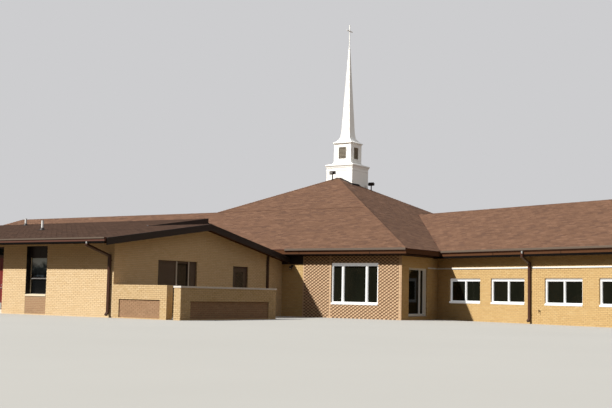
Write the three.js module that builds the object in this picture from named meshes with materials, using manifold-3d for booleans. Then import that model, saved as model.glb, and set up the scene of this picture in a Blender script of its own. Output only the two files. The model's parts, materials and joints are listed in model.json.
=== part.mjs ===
// Church with a square pyramid roof, a steeple and three low wings, built as a 1:2 scale model.
// All sizes below are real millimetres. The root group brings them to the model's scale.
// X runs along the front walls to the right, Y runs to the back, Z is up.
// The origin lies on the ground below the peak of the pyramid roof.

import * as THREE from 'three';
import Module from 'manifold-3d';
import { mergeVertices } from 'three/addons/utils/BufferGeometryUtils.js';

const wasm = await Module();
wasm.setup();

// Scale and shared sizes
const modelScale = 0.5;
const wall = 300;
const floorTop = 150;
const seat = 0.6;
const setback = 60;

// Hall
const hallHalf = 8968;
const eaveHalf = 9414;
const soffit = 2720;
const eaveTop = 2965;
const roofPitch = 0.46;
const brownStart = 4000;

// Left wing
const gableX = 2849;
const leftEndX = -15285;
const leftFrontY = -19510;
const leftEaveY = -20345;
const leftRakeX = 3254;
const leftEaveTop = 2858.5;
const leftPitch = 0.1508;
const leftRidgeY = -14556;
const backPitch = 0.2004;
const leftRoofDepth = 185;
const shedX = -220;
const shedY = -10569;
const shedWallY = -10600;
const linkTop = 2650;
const rakeBoardDepth = 250;

// Rear wing
const rearEndX = -24287;
const rearNorthY = -134;

// Right wing
const rightTurn = THREE.MathUtils.degToRad(20.766);
const rightStartY = -5674;
const rightLength = 11545;
const rightDepth = 9064;
const rightEave = 433;

// Openings
const pictureWindow = { from: 5492, to: 7847, low: 583, high: 2372 };
const eastScreen = { from: -8350, to: -6700, low: 150, high: 2200 };
const stripWindows = [-1312.5, -6382.5, -11127.5];
const stripHalf = 587.5;
const stripLow = 708;
const stripHigh = 2650;
const entry = { from: -4435, to: -3260, head: 2255 };
const courtWindow = { from: -17149, to: -14855, low: 150, high: 2200 };
const courtDoor = { from: -12522, to: -11484, head: 2110 };
const rightWindows = [1706, 4204, 7146, 9809];
const rightWindowHalf = 937;
const rightWindowLow = 736;
const rightWindowHigh = 1803;

const colours = {
  yellowBrick: 0xd2ac72,
  brownBrick: 0xa07a58,
  shingle: 0x7c5a48,
  darkMetal: 0x2c2624,
  brownMetal: 0x4a332c,
  white: 0xe9e6df,
  concrete: 0x9b968c,
  maroon: 0x5e2222,
  doorBrown: 0x584a3c,
};

// Basic solids
function box(x0, x1, y0, y1, z0, z1) {
  const geometry = new THREE.BoxGeometry(x1 - x0, y1 - y0, z1 - z0);
  return geometry.translate((x0 + x1) / 2, (y0 + y1) / 2, (z0 + z1) / 2);
}

function extrude(outline, holes, depth) {
  const shape = new THREE.Shape(outline.map(([a, b]) => new THREE.Vector2(a, b)));
  for (const hole of holes) {
    shape.holes.push(new THREE.Path(hole.map(([a, b]) => new THREE.Vector2(a, b))));
  }
  return new THREE.ExtrudeGeometry(shape, { depth, bevelEnabled: false });
}

function rectangle(a0, a1, b0, b1) {
  return [[a0, b0], [a1, b0], [a1, b1], [a0, b1]];
}

// A plan outline in x and y raised from z0 to z1
function raise(outline, z0, z1) {
  return extrude(outline, [], z1 - z0).translate(0, 0, z0);
}

// An outline in y and z drawn out along x
function alongX(outline, x0, x1, holes = []) {
  const turn = new THREE.Matrix4().set(0, 0, 1, x0, 1, 0, 0, 0, 0, 1, 0, 0, 0, 0, 0, 1);
  return extrude(outline, holes, x1 - x0).applyMatrix4(turn);
}

// An outline in x and z drawn out along y
function alongY(outline, y0, y1, holes = []) {
  const swap = (points) => points.map(([x, z]) => [z, x]).reverse();
  const turn = new THREE.Matrix4().set(0, 1, 0, 0, 0, 0, 1, y0, 1, 0, 0, 0, 0, 0, 0, 1);
  return extrude(swap(outline), holes.map(swap), y1 - y0).applyMatrix4(turn);
}

// Adding, cutting and intersecting solids
function toSolid(geometry) {
  const plain = geometry.clone();
  plain.deleteAttribute('normal');
  plain.deleteAttribute('uv');
  const values = plain.attributes.position.array;
  values.forEach((value, i) => {
    values[i] = Math.round(value * 256) / 256;
  });
  const welded = mergeVertices(plain, 0.0001);
  return new wasm.Manifold(new wasm.Mesh({
    numProp: 3,
    vertProperties: new Float32Array(welded.attributes.position.array),
    triVerts: new Uint32Array(welded.index.array),
  }));
}

function toGeometry(solid) {
  const mesh = solid.getMesh();
  const geometry = new THREE.BufferGeometry();
  const positions = new Float32Array((mesh.vertProperties.length / mesh.numProp) * 3);
  for (let i = 0; i < positions.length / 3; i += 1) {
    for (let axis = 0; axis < 3; axis += 1) {
      positions[i * 3 + axis] = mesh.vertProperties[i * mesh.numProp + axis];
    }
  }
  geometry.setAttribute('position', new THREE.BufferAttribute(positions, 3));
  geometry.setIndex(new THREE.BufferAttribute(new Uint32Array(mesh.triVerts), 1));
  geometry.computeVertexNormals();
  return geometry;
}

function combine(method, first, others) {
  return toGeometry(others.reduce((solid, other) => solid[method](toSolid(other)), toSolid(first)));
}

const cut = (first, ...others) => combine('subtract', first, others);
const join = (first, ...others) => combine('add', first, others);
const common = (first, ...others) => combine('intersect', first, others);

// A straight length of pipe or bar between two points, with its width across and its depth
function bar(start, end, width, depth, extra = 0) {
  const from = new THREE.Vector3(...start);
  const to = new THREE.Vector3(...end);
  const along = to.clone().sub(from).normalize();
  const side = new THREE.Vector3(1, 0, 0);
  const front = new THREE.Vector3().crossVectors(along, side).normalize();
  side.crossVectors(front, along).normalize();
  const middle = from.clone().add(to).multiplyScalar(0.5);
  const geometry = new THREE.BoxGeometry(width, depth, from.distanceTo(to) + 2 * extra);
  const placing = new THREE.Matrix4().makeBasis(side, front, along).setPosition(middle);
  return geometry.applyMatrix4(placing);
}

function pipe(points, width, depth) {
  const lengths = [];
  for (let i = 0; i + 1 < points.length; i += 1) {
    lengths.push(bar(points[i], points[i + 1], width, depth, depth / 2 - 8));
  }
  return join(...lengths);
}

// A tower of square rings, each given as half width and height
function squareStack(rings, x, y) {
  const positions = [];
  const corners = [[-1, -1], [1, -1], [1, 1], [-1, 1]];
  const ring = ([half, z]) => corners.map(([a, b]) => [x + a * half, y + b * half, z]);
  const face = (a, b, c) => positions.push(...a, ...b, ...c);
  for (let i = 0; i + 1 < rings.length; i += 1) {
    const low = ring(rings[i]);
    const high = ring(rings[i + 1]);
    for (let k = 0; k < 4; k += 1) {
      const next = (k + 1) % 4;
      face(low[k], low[next], high[next]);
      face(low[k], high[next], high[k]);
    }
  }
  const bottom = ring(rings[0]);
  const top = ring(rings[rings.length - 1]);
  face(bottom[0], bottom[2], bottom[1]);
  face(bottom[0], bottom[3], bottom[2]);
  face(top[0], top[1], top[2]);
  face(top[0], top[2], top[3]);
  const geometry = new THREE.BufferGeometry();
  geometry.setAttribute('position', new THREE.Float32BufferAttribute(positions, 3));
  geometry.computeVertexNormals();
  return geometry;
}

// Roofs with level soffits: the ends slope where a hip is asked for
function hipRoof(x0, x1, y0, y1, hips, low = soffit, eave = eaveTop) {
  const middle = (y0 + y1) / 2;
  const run = middle - y0;
  const ridge = eave + roofPitch * run;
  const body = alongX([[y0, low], [y1, low], [y1, eave], [middle, ridge], [y0, eave]], x0, x1);
  const west = hips.includes('west');
  const east = hips.includes('east');
  const length = [[x0, low], [x1, low]];
  length.push(...(east ? [[x1, eave], [x1 - run, ridge]] : [[x1, ridge + 1]]));
  length.push(...(west ? [[x0 + run, ridge], [x0, eave]] : [[x0, ridge + 1]]));
  return common(body, alongY(length, y0 - 10, y1 + 10));
}

// A glazed unit: a frame with its pane in one body, x along the wall and y into it
function windowUnit(x0, x1, z0, z1, lights, depth = 100, pane = 24) {
  const pockets = [];
  for (const [a0, a1, b0, b1] of lights) {
    pockets.push(box(a0, a1, -10, (depth - pane) / 2, b0, b1));
    pockets.push(box(a0, a1, (depth + pane) / 2, depth + 10, b0, b1));
  }
  return cut(box(x0, x1, 0, depth, z0, z1), ...pockets);
}

const root = new THREE.Group();
root.name = 'church';
root.scale.setScalar(modelScale);
const rightWing = new THREE.Group();
rightWing.position.set(hallHalf, rightStartY, 0);
rightWing.rotation.z = -rightTurn;
root.add(rightWing);

function add(name, geometry, colour, parent = root) {
  const material = new THREE.MeshStandardMaterial({ color: colours[colour], roughness: 0.8 });
  const mesh = new THREE.Mesh(geometry, material);
  mesh.name = name;
  parent.add(mesh);
  return mesh;
}

// Hall walls
const picture = pictureWindow;
add('hall_window_wall', alongY(
  rectangle(brownStart, hallHalf, 0, soffit),
  -hallHalf,
  wall - hallHalf,
  [rectangle(picture.from, picture.to, picture.low, picture.high)],
), 'brownBrick');
add('long_south_wall', box(rearEndX, brownStart, -hallHalf, wall - hallHalf, 0, soffit), 'yellowBrick');
add('hall_east_wall', alongX(
  rectangle(wall - hallHalf, hallHalf - wall, 0, soffit),
  hallHalf - wall,
  hallHalf,
  [rectangle(eastScreen.from, eastScreen.to, eastScreen.low, eastScreen.high)],
), 'yellowBrick');
add('hall_north_wall', box(-hallHalf, hallHalf, hallHalf - wall, hallHalf, 0, soffit), 'yellowBrick');
add('hall_west_wall', box(-hallHalf, wall - hallHalf, wall - hallHalf, hallHalf - wall, 0, soffit), 'yellowBrick');
add('hall_floor', box(wall - hallHalf, hallHalf - wall, wall - hallHalf, hallHalf - wall, 0, floorTop), 'concrete');

// Hall roof and the two roofs that run into it
const bothEnds = ['west', 'east'];
const clearHalf = eaveHalf + seat;
const hallClear = hipRoof(-clearHalf, clearHalf, -clearHalf, clearHalf, bothEnds, soffit - 10, eaveTop + seat);
add('hall_roof', hipRoof(-eaveHalf, eaveHalf, -eaveHalf, eaveHalf, bothEnds), 'shingle');

const overhang = eaveHalf - hallHalf;
const rearRoof = hipRoof(rearEndX - overhang, -3200, -eaveHalf, rearNorthY + overhang, ['west']);
add('rear_wing_roof', cut(rearRoof, hallClear), 'shingle');

// Rear wing walls and floor
add('rear_wing_walls', raise([
  [rearEndX, wall - hallHalf],
  [rearEndX + wall, wall - hallHalf],
  [rearEndX + wall, rearNorthY - wall],
  [-hallHalf, rearNorthY - wall],
  [-hallHalf, rearNorthY],
  [rearEndX, rearNorthY],
], 0, soffit), 'yellowBrick');
add('rear_wing_floor', box(
  rearEndX + wall,
  -hallHalf,
  wall - hallHalf,
  rearNorthY - wall,
  0,
  floorTop,
), 'concrete');

// Right wing, drawn with x along its front wall and y into the wing
const skew = Math.tan(rightTurn);
const besideHall = (y) => -skew * y + seat / Math.cos(rightTurn);
const rightEndX = rightLength;
const rightHoles = rightWindows.map((x) => box(
  x - rightWindowHalf,
  x + rightWindowHalf,
  -10,
  wall + 10,
  rightWindowLow,
  rightWindowHigh,
));
add('right_wing_front_wall', cut(raise([
  [besideHall(0), 0],
  [rightEndX, 0],
  [rightEndX, wall],
  [besideHall(wall), wall],
], 0, soffit), ...rightHoles), 'yellowBrick', rightWing);
add('right_wing_back_walls', raise([
  [besideHall(rightDepth - wall), rightDepth - wall],
  [rightEndX - wall, rightDepth - wall],
  [rightEndX - wall, wall + seat],
  [rightEndX, wall + seat],
  [rightEndX, rightDepth],
  [besideHall(rightDepth), rightDepth],
], 0, soffit), 'yellowBrick', rightWing);
add('right_wing_floor', raise([
  [besideHall(wall) + seat, wall + seat],
  [rightEndX - wall - seat, wall + seat],
  [rightEndX - wall - seat, rightDepth - wall - seat],
  [besideHall(rightDepth - wall) + seat, rightDepth - wall - seat],
], 0, floorTop), 'concrete', rightWing);

const rightRoof = hipRoof(-8500, rightLength + rightEave, -rightEave, rightDepth + rightEave, ['east']);
const intoWing = new THREE.Matrix4().makeTranslation(hallHalf, rightStartY, 0);
intoWing.multiply(new THREE.Matrix4().makeRotationZ(-rightTurn)).invert();
add('right_wing_roof', cut(rightRoof, hallClear.clone().applyMatrix4(intoWing)), 'shingle', rightWing);

// Left wing roof planes
const leftTop = (y) => leftEaveTop + leftPitch * (y - leftEaveY);
const backTop = (y) => leftTop(leftRidgeY) - backPitch * (y - leftRidgeY);
const rakeOut = leftRakeX - gableX;
const leftWestX = leftEndX - rakeOut;
const frontSlab = alongX([
  [leftEaveY, leftTop(leftEaveY) - leftRoofDepth],
  [shedY, leftTop(shedY) - leftRoofDepth],
  [shedY, leftTop(shedY)],
  [leftEaveY, leftTop(leftEaveY)],
], leftWestX, leftRakeX);
add('left_wing_roof_front', common(frontSlab, raise([
  [leftWestX, leftEaveY],
  [leftRakeX, leftEaveY],
  [leftRakeX, leftRidgeY],
  [shedX, leftRidgeY],
  [shedX, shedY],
  [leftWestX, shedY],
], 0, 6000)), 'shingle');
add('left_wing_roof_back', alongX([
  [leftRidgeY, backTop(leftRidgeY) - leftRoofDepth],
  [-hallHalf, backTop(-hallHalf) - leftRoofDepth],
  [-hallHalf, backTop(-hallHalf)],
  [leftRidgeY, backTop(leftRidgeY)],
], shedX, leftRakeX), 'shingle');
add('left_wing_rake_board', alongX([
  [leftEaveY, leftTop(leftEaveY) - rakeBoardDepth],
  [leftRidgeY, leftTop(leftRidgeY) - rakeBoardDepth],
  [-hallHalf, backTop(-hallHalf) - rakeBoardDepth],
  [-hallHalf, backTop(-hallHalf)],
  [leftRidgeY, leftTop(leftRidgeY)],
  [leftEaveY, leftTop(leftEaveY)],
], leftRakeX, leftRakeX + 40), 'darkMetal');

// Vent pipes on the left wing
function ventPipe(x, y, height) {
  const top = leftTop(y) + height;
  const shaft = new THREE.CylinderGeometry(55, 55, height + 100, 24);
  shaft.rotateX(Math.PI / 2).translate(x, y, top - (height + 100) / 2);
  const aboveRoof = alongX([
    [y - 200, leftTop(y - 200)],
    [y + 200, leftTop(y + 200)],
    [y + 200, top + 100],
    [y - 200, top + 100],
  ], x - 200, x + 200);
  return common(shaft, aboveRoof);
}
add('roof_vent_west', ventPipe(-11643, -11334, 350), 'white');
add('roof_vent_east', ventPipe(-6029, -15159, 430), 'white');

// Left wing walls
const leftUnder = (y) => leftTop(y) - leftRoofDepth - seat;
const backUnder = (y) => backTop(y) - leftRoofDepth - seat;
const roofSpace = alongX([
  [leftEaveY, leftUnder(leftEaveY)],
  [shedY + 200, leftUnder(shedY + 200)],
  [shedY + 200, 9000],
  [leftEaveY, 9000],
], leftWestX - 100, leftRakeX + 100);
const stripHole = (x) => rectangle(x - stripHalf, x + stripHalf, stripLow, stripHigh);
const frontWall = (x0, x1, z0, strips) => cut(
  alongY(rectangle(x0, x1, z0, 3000), leftFrontY, leftFrontY + wall, strips.map(stripHole)),
  roofSpace,
);
add('left_wing_front_wall_east', frontWall(entry.to, gableX, 0, [stripWindows[0]]), 'yellowBrick');
add('left_wing_front_wall_west', frontWall(leftEndX, entry.from, 0, stripWindows.slice(1)), 'yellowBrick');
add('left_wing_entry_header', frontWall(entry.from, entry.to, stripHigh, []), 'yellowBrick');

const insideY = leftFrontY + wall;
add('gable_wall_south', alongX(
  [
    [insideY, 0],
    [courtDoor.from, 0],
    [courtDoor.from, backUnder(courtDoor.from)],
    [leftRidgeY, leftUnder(leftRidgeY)],
    [insideY, leftUnder(insideY)],
  ],
  gableX - wall,
  gableX,
  [rectangle(courtWindow.from, courtWindow.to, courtWindow.low, courtWindow.high)],
), 'yellowBrick');
add('gable_door_header', alongX([
  [courtDoor.from, courtDoor.head],
  [courtDoor.to, courtDoor.head],
  [courtDoor.to, backUnder(courtDoor.to)],
  [courtDoor.from, backUnder(courtDoor.from)],
], gableX - wall, gableX), 'yellowBrick');
add('gable_wall_north', alongX([
  [courtDoor.to, 0],
  [-hallHalf, 0],
  [-hallHalf, backUnder(-hallHalf)],
  [courtDoor.to, backUnder(courtDoor.to)],
], gableX - wall, gableX), 'yellowBrick');
add('left_wing_west_wall', alongX([
  [insideY, 0],
  [-hallHalf, 0],
  [-hallHalf, linkTop - 150],
  [shedWallY, linkTop - 150],
  [shedWallY, leftUnder(shedWallY)],
  [insideY, leftUnder(insideY)],
], leftEndX, leftEndX + wall), 'yellowBrick');
add('left_wing_back_wall', alongX([
  [shedWallY - wall, floorTop],
  [shedWallY, floorTop],
  [shedWallY, leftUnder(shedWallY)],
  [shedWallY - wall, leftUnder(shedWallY - wall)],
], leftEndX + wall, shedX - wall), 'yellowBrick');
add('left_wing_cross_wall', alongX([
  [leftRidgeY, floorTop],
  [-hallHalf, floorTop],
  [-hallHalf, backTop(-hallHalf)],
  [shedWallY, backTop(shedWallY)],
  [shedWallY, leftUnder(shedWallY)],
  [leftRidgeY, leftUnder(leftRidgeY)],
], shedX - wall, shedX), 'yellowBrick');
add('left_wing_link_roof', box(
  leftEndX,
  shedX - wall,
  shedWallY,
  -hallHalf,
  linkTop - 150,
  linkTop,
), 'shingle');
add('left_wing_floor', raise([
  [leftEndX + wall, insideY],
  [entry.from, insideY],
  [entry.from, leftFrontY],
  [entry.to, leftFrontY],
  [entry.to, insideY],
  [gableX - wall, insideY],
  [gableX - wall, courtDoor.from],
  [gableX, courtDoor.from],
  [gableX, courtDoor.to],
  [gableX - wall, courtDoor.to],
  [gableX - wall, -hallHalf],
  [leftEndX + wall, -hallHalf],
], 0, floorTop), 'concrete');

// Windows
add('picture_window', windowUnit(picture.from, picture.to, picture.low, picture.high, [
  [5580, 5991, 721, 2255],
  [6144, 7227, 721, 2255],
  [7351, 7771, 721, 2255],
]).translate(0, setback - hallHalf, 0), 'white');
stripWindows.forEach((x, index) => {
  const unit = windowUnit(x - stripHalf, x + stripHalf, stripLow, stripHigh, [
    [x - stripHalf + 60, x + stripHalf - 50, 804, 1370],
    [x - stripHalf + 60, x + stripHalf - 50, 1420, 2216],
  ]);
  add(`strip_window_${index + 1}`, unit.translate(0, leftFrontY + setback + 120, 0), 'brownMetal');
});
rightWindows.forEach((x, index) => {
  const unit = windowUnit(x - rightWindowHalf + 1, x + rightWindowHalf - 1, rightWindowLow + 1, rightWindowHigh - 1, [
    [x - rightWindowHalf + 65, x - 30, rightWindowLow + 80, rightWindowHigh - 150],
    [x + 30, x + rightWindowHalf - 65, rightWindowLow + 80, rightWindowHigh - 150],
  ]);
  add(`right_wing_window_${index + 1}`, unit.translate(0, setback, 0), 'white', rightWing);
});
const court = courtWindow;
const courtUnit = windowUnit(court.from, court.to, court.low, court.high, [
  [-15990, -15330, 250, 2120],
]);
const turned = (geometry, x) => geometry.rotateZ(Math.PI / 2).translate(x, 0, 0);
add('courtyard_window', turned(courtUnit, gableX - setback), 'doorBrown');
const screenUnit = windowUnit(eastScreen.from, eastScreen.to, eastScreen.low, eastScreen.high, [
  [-8290, -7280, 240, 2130],
  [-7210, -6910, 240, 2130],
  [-6850, -6760, 240, 2130],
]);
add('east_screen', turned(screenUnit, hallHalf - setback), 'white');

// Doors, each in a frame
const frameDepth = 120;
const frameFace = 50;
const doorClear = 12;
const doorThick = 50;
const frameY = leftFrontY + setback;

// Three hinge knuckles on a door's edge, running beside its jamb
function knuckles(x, y, head) {
  const radius = doorClear - seat;
  return [450, (floorTop + head) / 2, head - 300].map((z) => new THREE.CylinderGeometry(radius, radius, 120, 16)
    .rotateX(Math.PI / 2)
    .translate(x, y, z));
}
add('left_entry_frame', alongY(
  [
    [entry.from, floorTop],
    [entry.from + frameFace, floorTop],
    [entry.from + frameFace, entry.head - frameFace],
    [entry.to - frameFace, entry.head - frameFace],
    [entry.to - frameFace, floorTop],
    [entry.to, floorTop],
    [entry.to, stripHigh],
    [entry.from, stripHigh],
  ],
  frameY,
  frameY + frameDepth,
), 'brownMetal');
const entryHingeX = entry.from + frameFace + doorClear;
add('left_entry_door', join(box(
  entryHingeX,
  entry.to - frameFace - doorClear,
  frameY,
  frameY + doorThick,
  floorTop + doorClear,
  entry.head - frameFace - doorClear,
), ...knuckles(entryHingeX, frameY, entry.head)), 'maroon');
const frameX = gableX - setback;
add('courtyard_door_frame', alongX(
  [
    [courtDoor.from, floorTop],
    [courtDoor.from + frameFace, floorTop],
    [courtDoor.from + frameFace, courtDoor.head - frameFace],
    [courtDoor.to - frameFace, courtDoor.head - frameFace],
    [courtDoor.to - frameFace, floorTop],
    [courtDoor.to, floorTop],
    [courtDoor.to, courtDoor.head],
    [courtDoor.from, courtDoor.head],
  ],
  frameX - frameDepth,
  frameX,
), 'brownMetal');
const courtHingeY = courtDoor.to - frameFace - doorClear;
add('courtyard_door', join(box(
  frameX - doorThick,
  frameX,
  courtDoor.from + frameFace + doorClear,
  courtHingeY,
  floorTop + doorClear,
  courtDoor.head - frameFace - doorClear,
), ...knuckles(frameX, courtHingeY, courtDoor.head)), 'doorBrown');

// Courtyard walls with their recessed panels
const courtWallTop = 1130;
add('courtyard_wall_south', cut(
  box(gableX, 5456, leftFrontY, leftFrontY + wall, 0, 1210),
  box(3158, 5150, leftFrontY - 10, leftFrontY + 40, 30, 690),
), 'yellowBrick');
add('courtyard_wall_east', cut(
  box(5804, 6104, leftFrontY, -13892, 0, courtWallTop),
  box(6064, 6114, -18982, -14364, 30, 660),
), 'yellowBrick');
add('courtyard_coping', box(5779, 6129, leftFrontY - 25, -13867, courtWallTop, courtWallTop + 65), 'concrete');

// Steeple standing over the peak
const steepleY = 956;
const steepleBase = squareStack([
  [820, 6000],
  [820, 7880],
  [850, 7900],
  [850, 7940],
  [890, 7990],
  [890, 8040],
], 0, steepleY);
add('steeple_base', cut(steepleBase, hallClear), 'white');
const belfryHalf = 541;
const niches = [0, 1, 2, 3].map((quarter) => box(-230, 230, -belfryHalf - 10, -belfryHalf + 60, 8400, 9040)
  .rotateZ((quarter * Math.PI) / 2)
  .translate(0, steepleY, 0));
add('steeple_belfry', cut(squareStack([
  [600, 8040],
  [600, 8150],
  [belfryHalf, 8200],
  [belfryHalf, 9262],
], 0, steepleY), ...niches), 'white');
add('steeple_spire', squareStack([
  [605, 9262],
  [605, 9300],
  [460, 9385],
  [375, 9490],
  [305, 9600],
  [264, 9880],
  [24, 14700],
], 0, steepleY), 'white');
add('steeple_cross', join(
  box(-18, 18, steepleY - 18, steepleY + 18, 14700, 15950),
  box(-18, 18, steepleY - 280, steepleY + 280, 15580, 15620),
), 'white');

// Lights that wash the steeple
function floodlight(x, y, turn) {
  const roofAt = eaveTop + roofPitch * (eaveHalf - Math.max(Math.abs(x), Math.abs(y)));
  const post = box(x - 30, x + 30, y - 30, y + 30, roofAt - 200, roofAt + 330);
  const head = box(-180, 180, -75, 75, -65, 75).rotateX(turn).translate(x, y, roofAt + 370);
  return cut(join(post, head), hallClear);
}
add('floodlight_left', floodlight(-165, -290, -0.35), 'darkMetal');
add('floodlight_right', floodlight(1270, 1400, 0.35), 'darkMetal');

// Gutters and downspouts
const gutterWidth = 125;
add('left_gutter', alongX(
  rectangle(leftEaveY - gutterWidth, leftEaveY, 2740, 2850),
  leftWestX,
  leftRakeX,
), 'brownMetal');
add('hall_gutter', alongX(
  rectangle(-eaveHalf - gutterWidth, -eaveHalf, 2834, 2960),
  leftRakeX + 60,
  eaveHalf,
), 'brownMetal');
add('right_gutter', alongX(
  rectangle(-rightEave - gutterWidth, -rightEave - seat, 2850, 2960),
  720,
  rightLength + rightEave,
), 'brownMetal', rightWing);
const spoutWidth = 105;
const spoutDepth = 75;
const spoutOff = 40;
const leftSpoutY = leftFrontY - spoutDepth / 2 - spoutOff;
add('left_downspout', pipe([
  [2330, leftEaveY - 62, 2710.5],
  [2330, leftEaveY - 62, 2620],
  [2680, leftSpoutY, 2250],
  [2680, leftSpoutY, 110],
], spoutWidth, spoutDepth), 'brownMetal');
add('gable_downspout', box(gableX, gableX + spoutDepth, -10170, -10060, 40, 2630), 'brownMetal');
const rightSpoutY = -spoutDepth / 2 - spoutOff;
add('right_downspout', pipe([
  [5470, -rightEave - 62, 2819.9],
  [5470, -rightEave - 62, 2650],
  [5470, rightSpoutY, 2400],
  [5470, rightSpoutY, 110],
], spoutWidth, spoutDepth), 'brownMetal', rightWing);

// Light course along the right wing
add('right_wing_band', box(besideHall(0) + 20, rightLength, -35, -seat, 2200, 2262), 'white', rightWing);

export default root;
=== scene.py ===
import json
import math
import random

import bmesh
import bpy
from mathutils import Matrix, Vector


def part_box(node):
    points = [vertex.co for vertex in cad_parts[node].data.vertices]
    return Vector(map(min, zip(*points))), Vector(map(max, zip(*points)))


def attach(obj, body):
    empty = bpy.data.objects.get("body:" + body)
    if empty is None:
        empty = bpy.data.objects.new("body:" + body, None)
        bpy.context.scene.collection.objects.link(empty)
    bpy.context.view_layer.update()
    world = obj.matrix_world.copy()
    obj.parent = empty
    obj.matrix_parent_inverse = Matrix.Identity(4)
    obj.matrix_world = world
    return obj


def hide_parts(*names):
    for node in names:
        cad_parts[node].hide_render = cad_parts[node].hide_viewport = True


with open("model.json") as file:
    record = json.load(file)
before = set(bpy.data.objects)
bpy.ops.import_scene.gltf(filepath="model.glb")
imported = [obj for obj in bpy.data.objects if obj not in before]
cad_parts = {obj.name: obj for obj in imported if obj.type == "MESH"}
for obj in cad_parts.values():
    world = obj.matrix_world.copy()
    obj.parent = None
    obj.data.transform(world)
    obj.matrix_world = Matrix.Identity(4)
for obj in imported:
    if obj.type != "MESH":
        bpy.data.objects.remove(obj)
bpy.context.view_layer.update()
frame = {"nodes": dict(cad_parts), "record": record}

# A brick church as a 1:2 model. Sizes are real millimetres, and toModel brings them to the model's metres.
# X runs along the front walls, Y to the back, Z up. The origin is on the ground below the peak.
toModel = 0.0005
wingTurn = 20.766  # degrees that the right wing turns away
draw = random.Random(7)


def sides(node):
    # lowest and highest corner of a node in real millimetres
    low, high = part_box(node)
    return low / toModel, high / toModel


def paint(red, green, blue):
    # a screen colour from 0 to 255 as linear light
    return tuple(((value / 255 + 0.055) / 1.055) ** 2.4 for value in (red, green, blue)) + (1.0,)


def moved(x, y, z=0):
    return Matrix.Translation((x, y, z))


def rotated(degrees, axis="Z"):
    return Matrix.Rotation(math.radians(degrees), 4, axis)


# Shader graphs, with Python operators for the maths
class Signal:
    def __init__(self, graph, socket):
        self.graph = graph
        self.socket = socket

    def maths(self, operation, first, second=None):
        sockets = {0: first} if second is None else {0: first, 1: second}
        return self.graph.node("ShaderNodeMath", {"operation": operation}, sockets)

    def __add__(self, other):
        return self.maths("ADD", self, other)

    def __radd__(self, other):
        return self.maths("ADD", other, self)

    def __sub__(self, other):
        return self.maths("SUBTRACT", self, other)

    def __rsub__(self, other):
        return self.maths("SUBTRACT", other, self)

    def __mul__(self, other):
        return self.maths("MULTIPLY", self, other)

    def __rmul__(self, other):
        return self.maths("MULTIPLY", other, self)

    def __truediv__(self, other):
        return self.maths("DIVIDE", self, other)

    def __gt__(self, other):
        return self.maths("GREATER_THAN", self, other)

    def __abs__(self):
        return self.maths("ABSOLUTE", self)

    def floor(self):
        return self.maths("FLOOR", self)

    def wrap(self):
        return self.maths("FLOORED_MODULO", self, 1.0)


class Graph:
    def __init__(self, tree):
        self.tree = tree

    def node(self, kind, settings=None, sockets=None, output=0):
        made = self.tree.nodes.new(kind)
        for key, value in (settings or {}).items():
            if key == "stops":
                self.fillRamp(made.color_ramp, value)
            else:
                setattr(made, key, value)
        for key, value in (sockets or {}).items():
            self.feed(made.inputs[key], value)
        return Signal(self, made.outputs[output])

    def fillRamp(self, ramp, stops):
        while len(ramp.elements) < len(stops):
            ramp.elements.new(0.5)
        for element, (place, colour) in zip(ramp.elements, stops):
            element.position = place
            element.color = colour

    def feed(self, socket, value):
        if isinstance(value, Signal):
            self.tree.links.new(value.socket, socket)
        else:
            socket.default_value = value

    def spot(self):
        return self.node("ShaderNodeTexCoord", output="Object")

    def part(self, vector, name):
        return self.node("ShaderNodeSeparateXYZ", sockets={0: vector}, output=name)

    def normal(self):
        return self.node("ShaderNodeNewGeometry", output="Normal")

    def island(self):
        return self.node("ShaderNodeNewGeometry", output="Random Per Island")

    def noise(self, scale, detail=2.0, roughness=0.5, spot=None):
        sockets = {"Vector": spot or self.spot(), "Scale": scale, "Detail": detail, "Roughness": roughness}
        return self.node("ShaderNodeTexNoise", sockets=sockets)

    def stretched(self, x, y, z):
        return self.node("ShaderNodeVectorMath", {"operation": "MULTIPLY"}, {0: self.spot(), 1: (x, y, z)})

    def mix(self, factor, first, second, blend="MIX"):
        settings = {"data_type": "RGBA", "blend_type": blend}
        return self.node("ShaderNodeMix", settings, {0: factor, 6: first, 7: second}, 2)

    def ramp(self, factor, stops):
        return self.node("ShaderNodeValToRGB", {"stops": stops}, {"Fac": factor})

    def bump(self, height, distance, strength=1.0):
        sockets = {"Height": height, "Distance": distance, "Strength": strength}
        return self.node("ShaderNodeBump", sockets=sockets)


class Finish(Graph):
    def __init__(self, name):
        self.material = bpy.data.materials.new(name)
        self.material.use_nodes = True
        super().__init__(self.material.node_tree)
        self.shader = self.tree.nodes["Principled BSDF"]

    def surface(self, **values):
        for key, value in values.items():
            self.feed(self.shader.inputs[key.replace("_", " ")], value)
        return self.material


# Finishes
brickLooks = {
    "course": 68.0,
    "length": 203.2,
    "joint": 10.0,
    "mortar": paint(188, 166, 132),
}
course, brickLength, joint = brickLooks["course"], brickLooks["length"], brickLooks["joint"]


def brickFinish(name, dark, middle, pale):
    finish = Finish(name)
    tone = finish.island() * 0.5 + 0.25 + (finish.noise(9, 3) - 0.5) * 0.3
    body = finish.ramp(tone, [(0.1, dark), (0.42, middle), (0.62, middle), (0.95, pale)])
    grit = finish.noise(700, 4, 0.7)
    specks = finish.mix((grit - 0.5) * 0.25 + 0.125, body, paint(70, 50, 36), "MULTIPLY")
    normal = finish.bump(grit + finish.noise(160, 2), 0.0008, 0.5)
    return finish.surface(Base_Color=specks, Roughness=0.92, Normal=normal)


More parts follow.
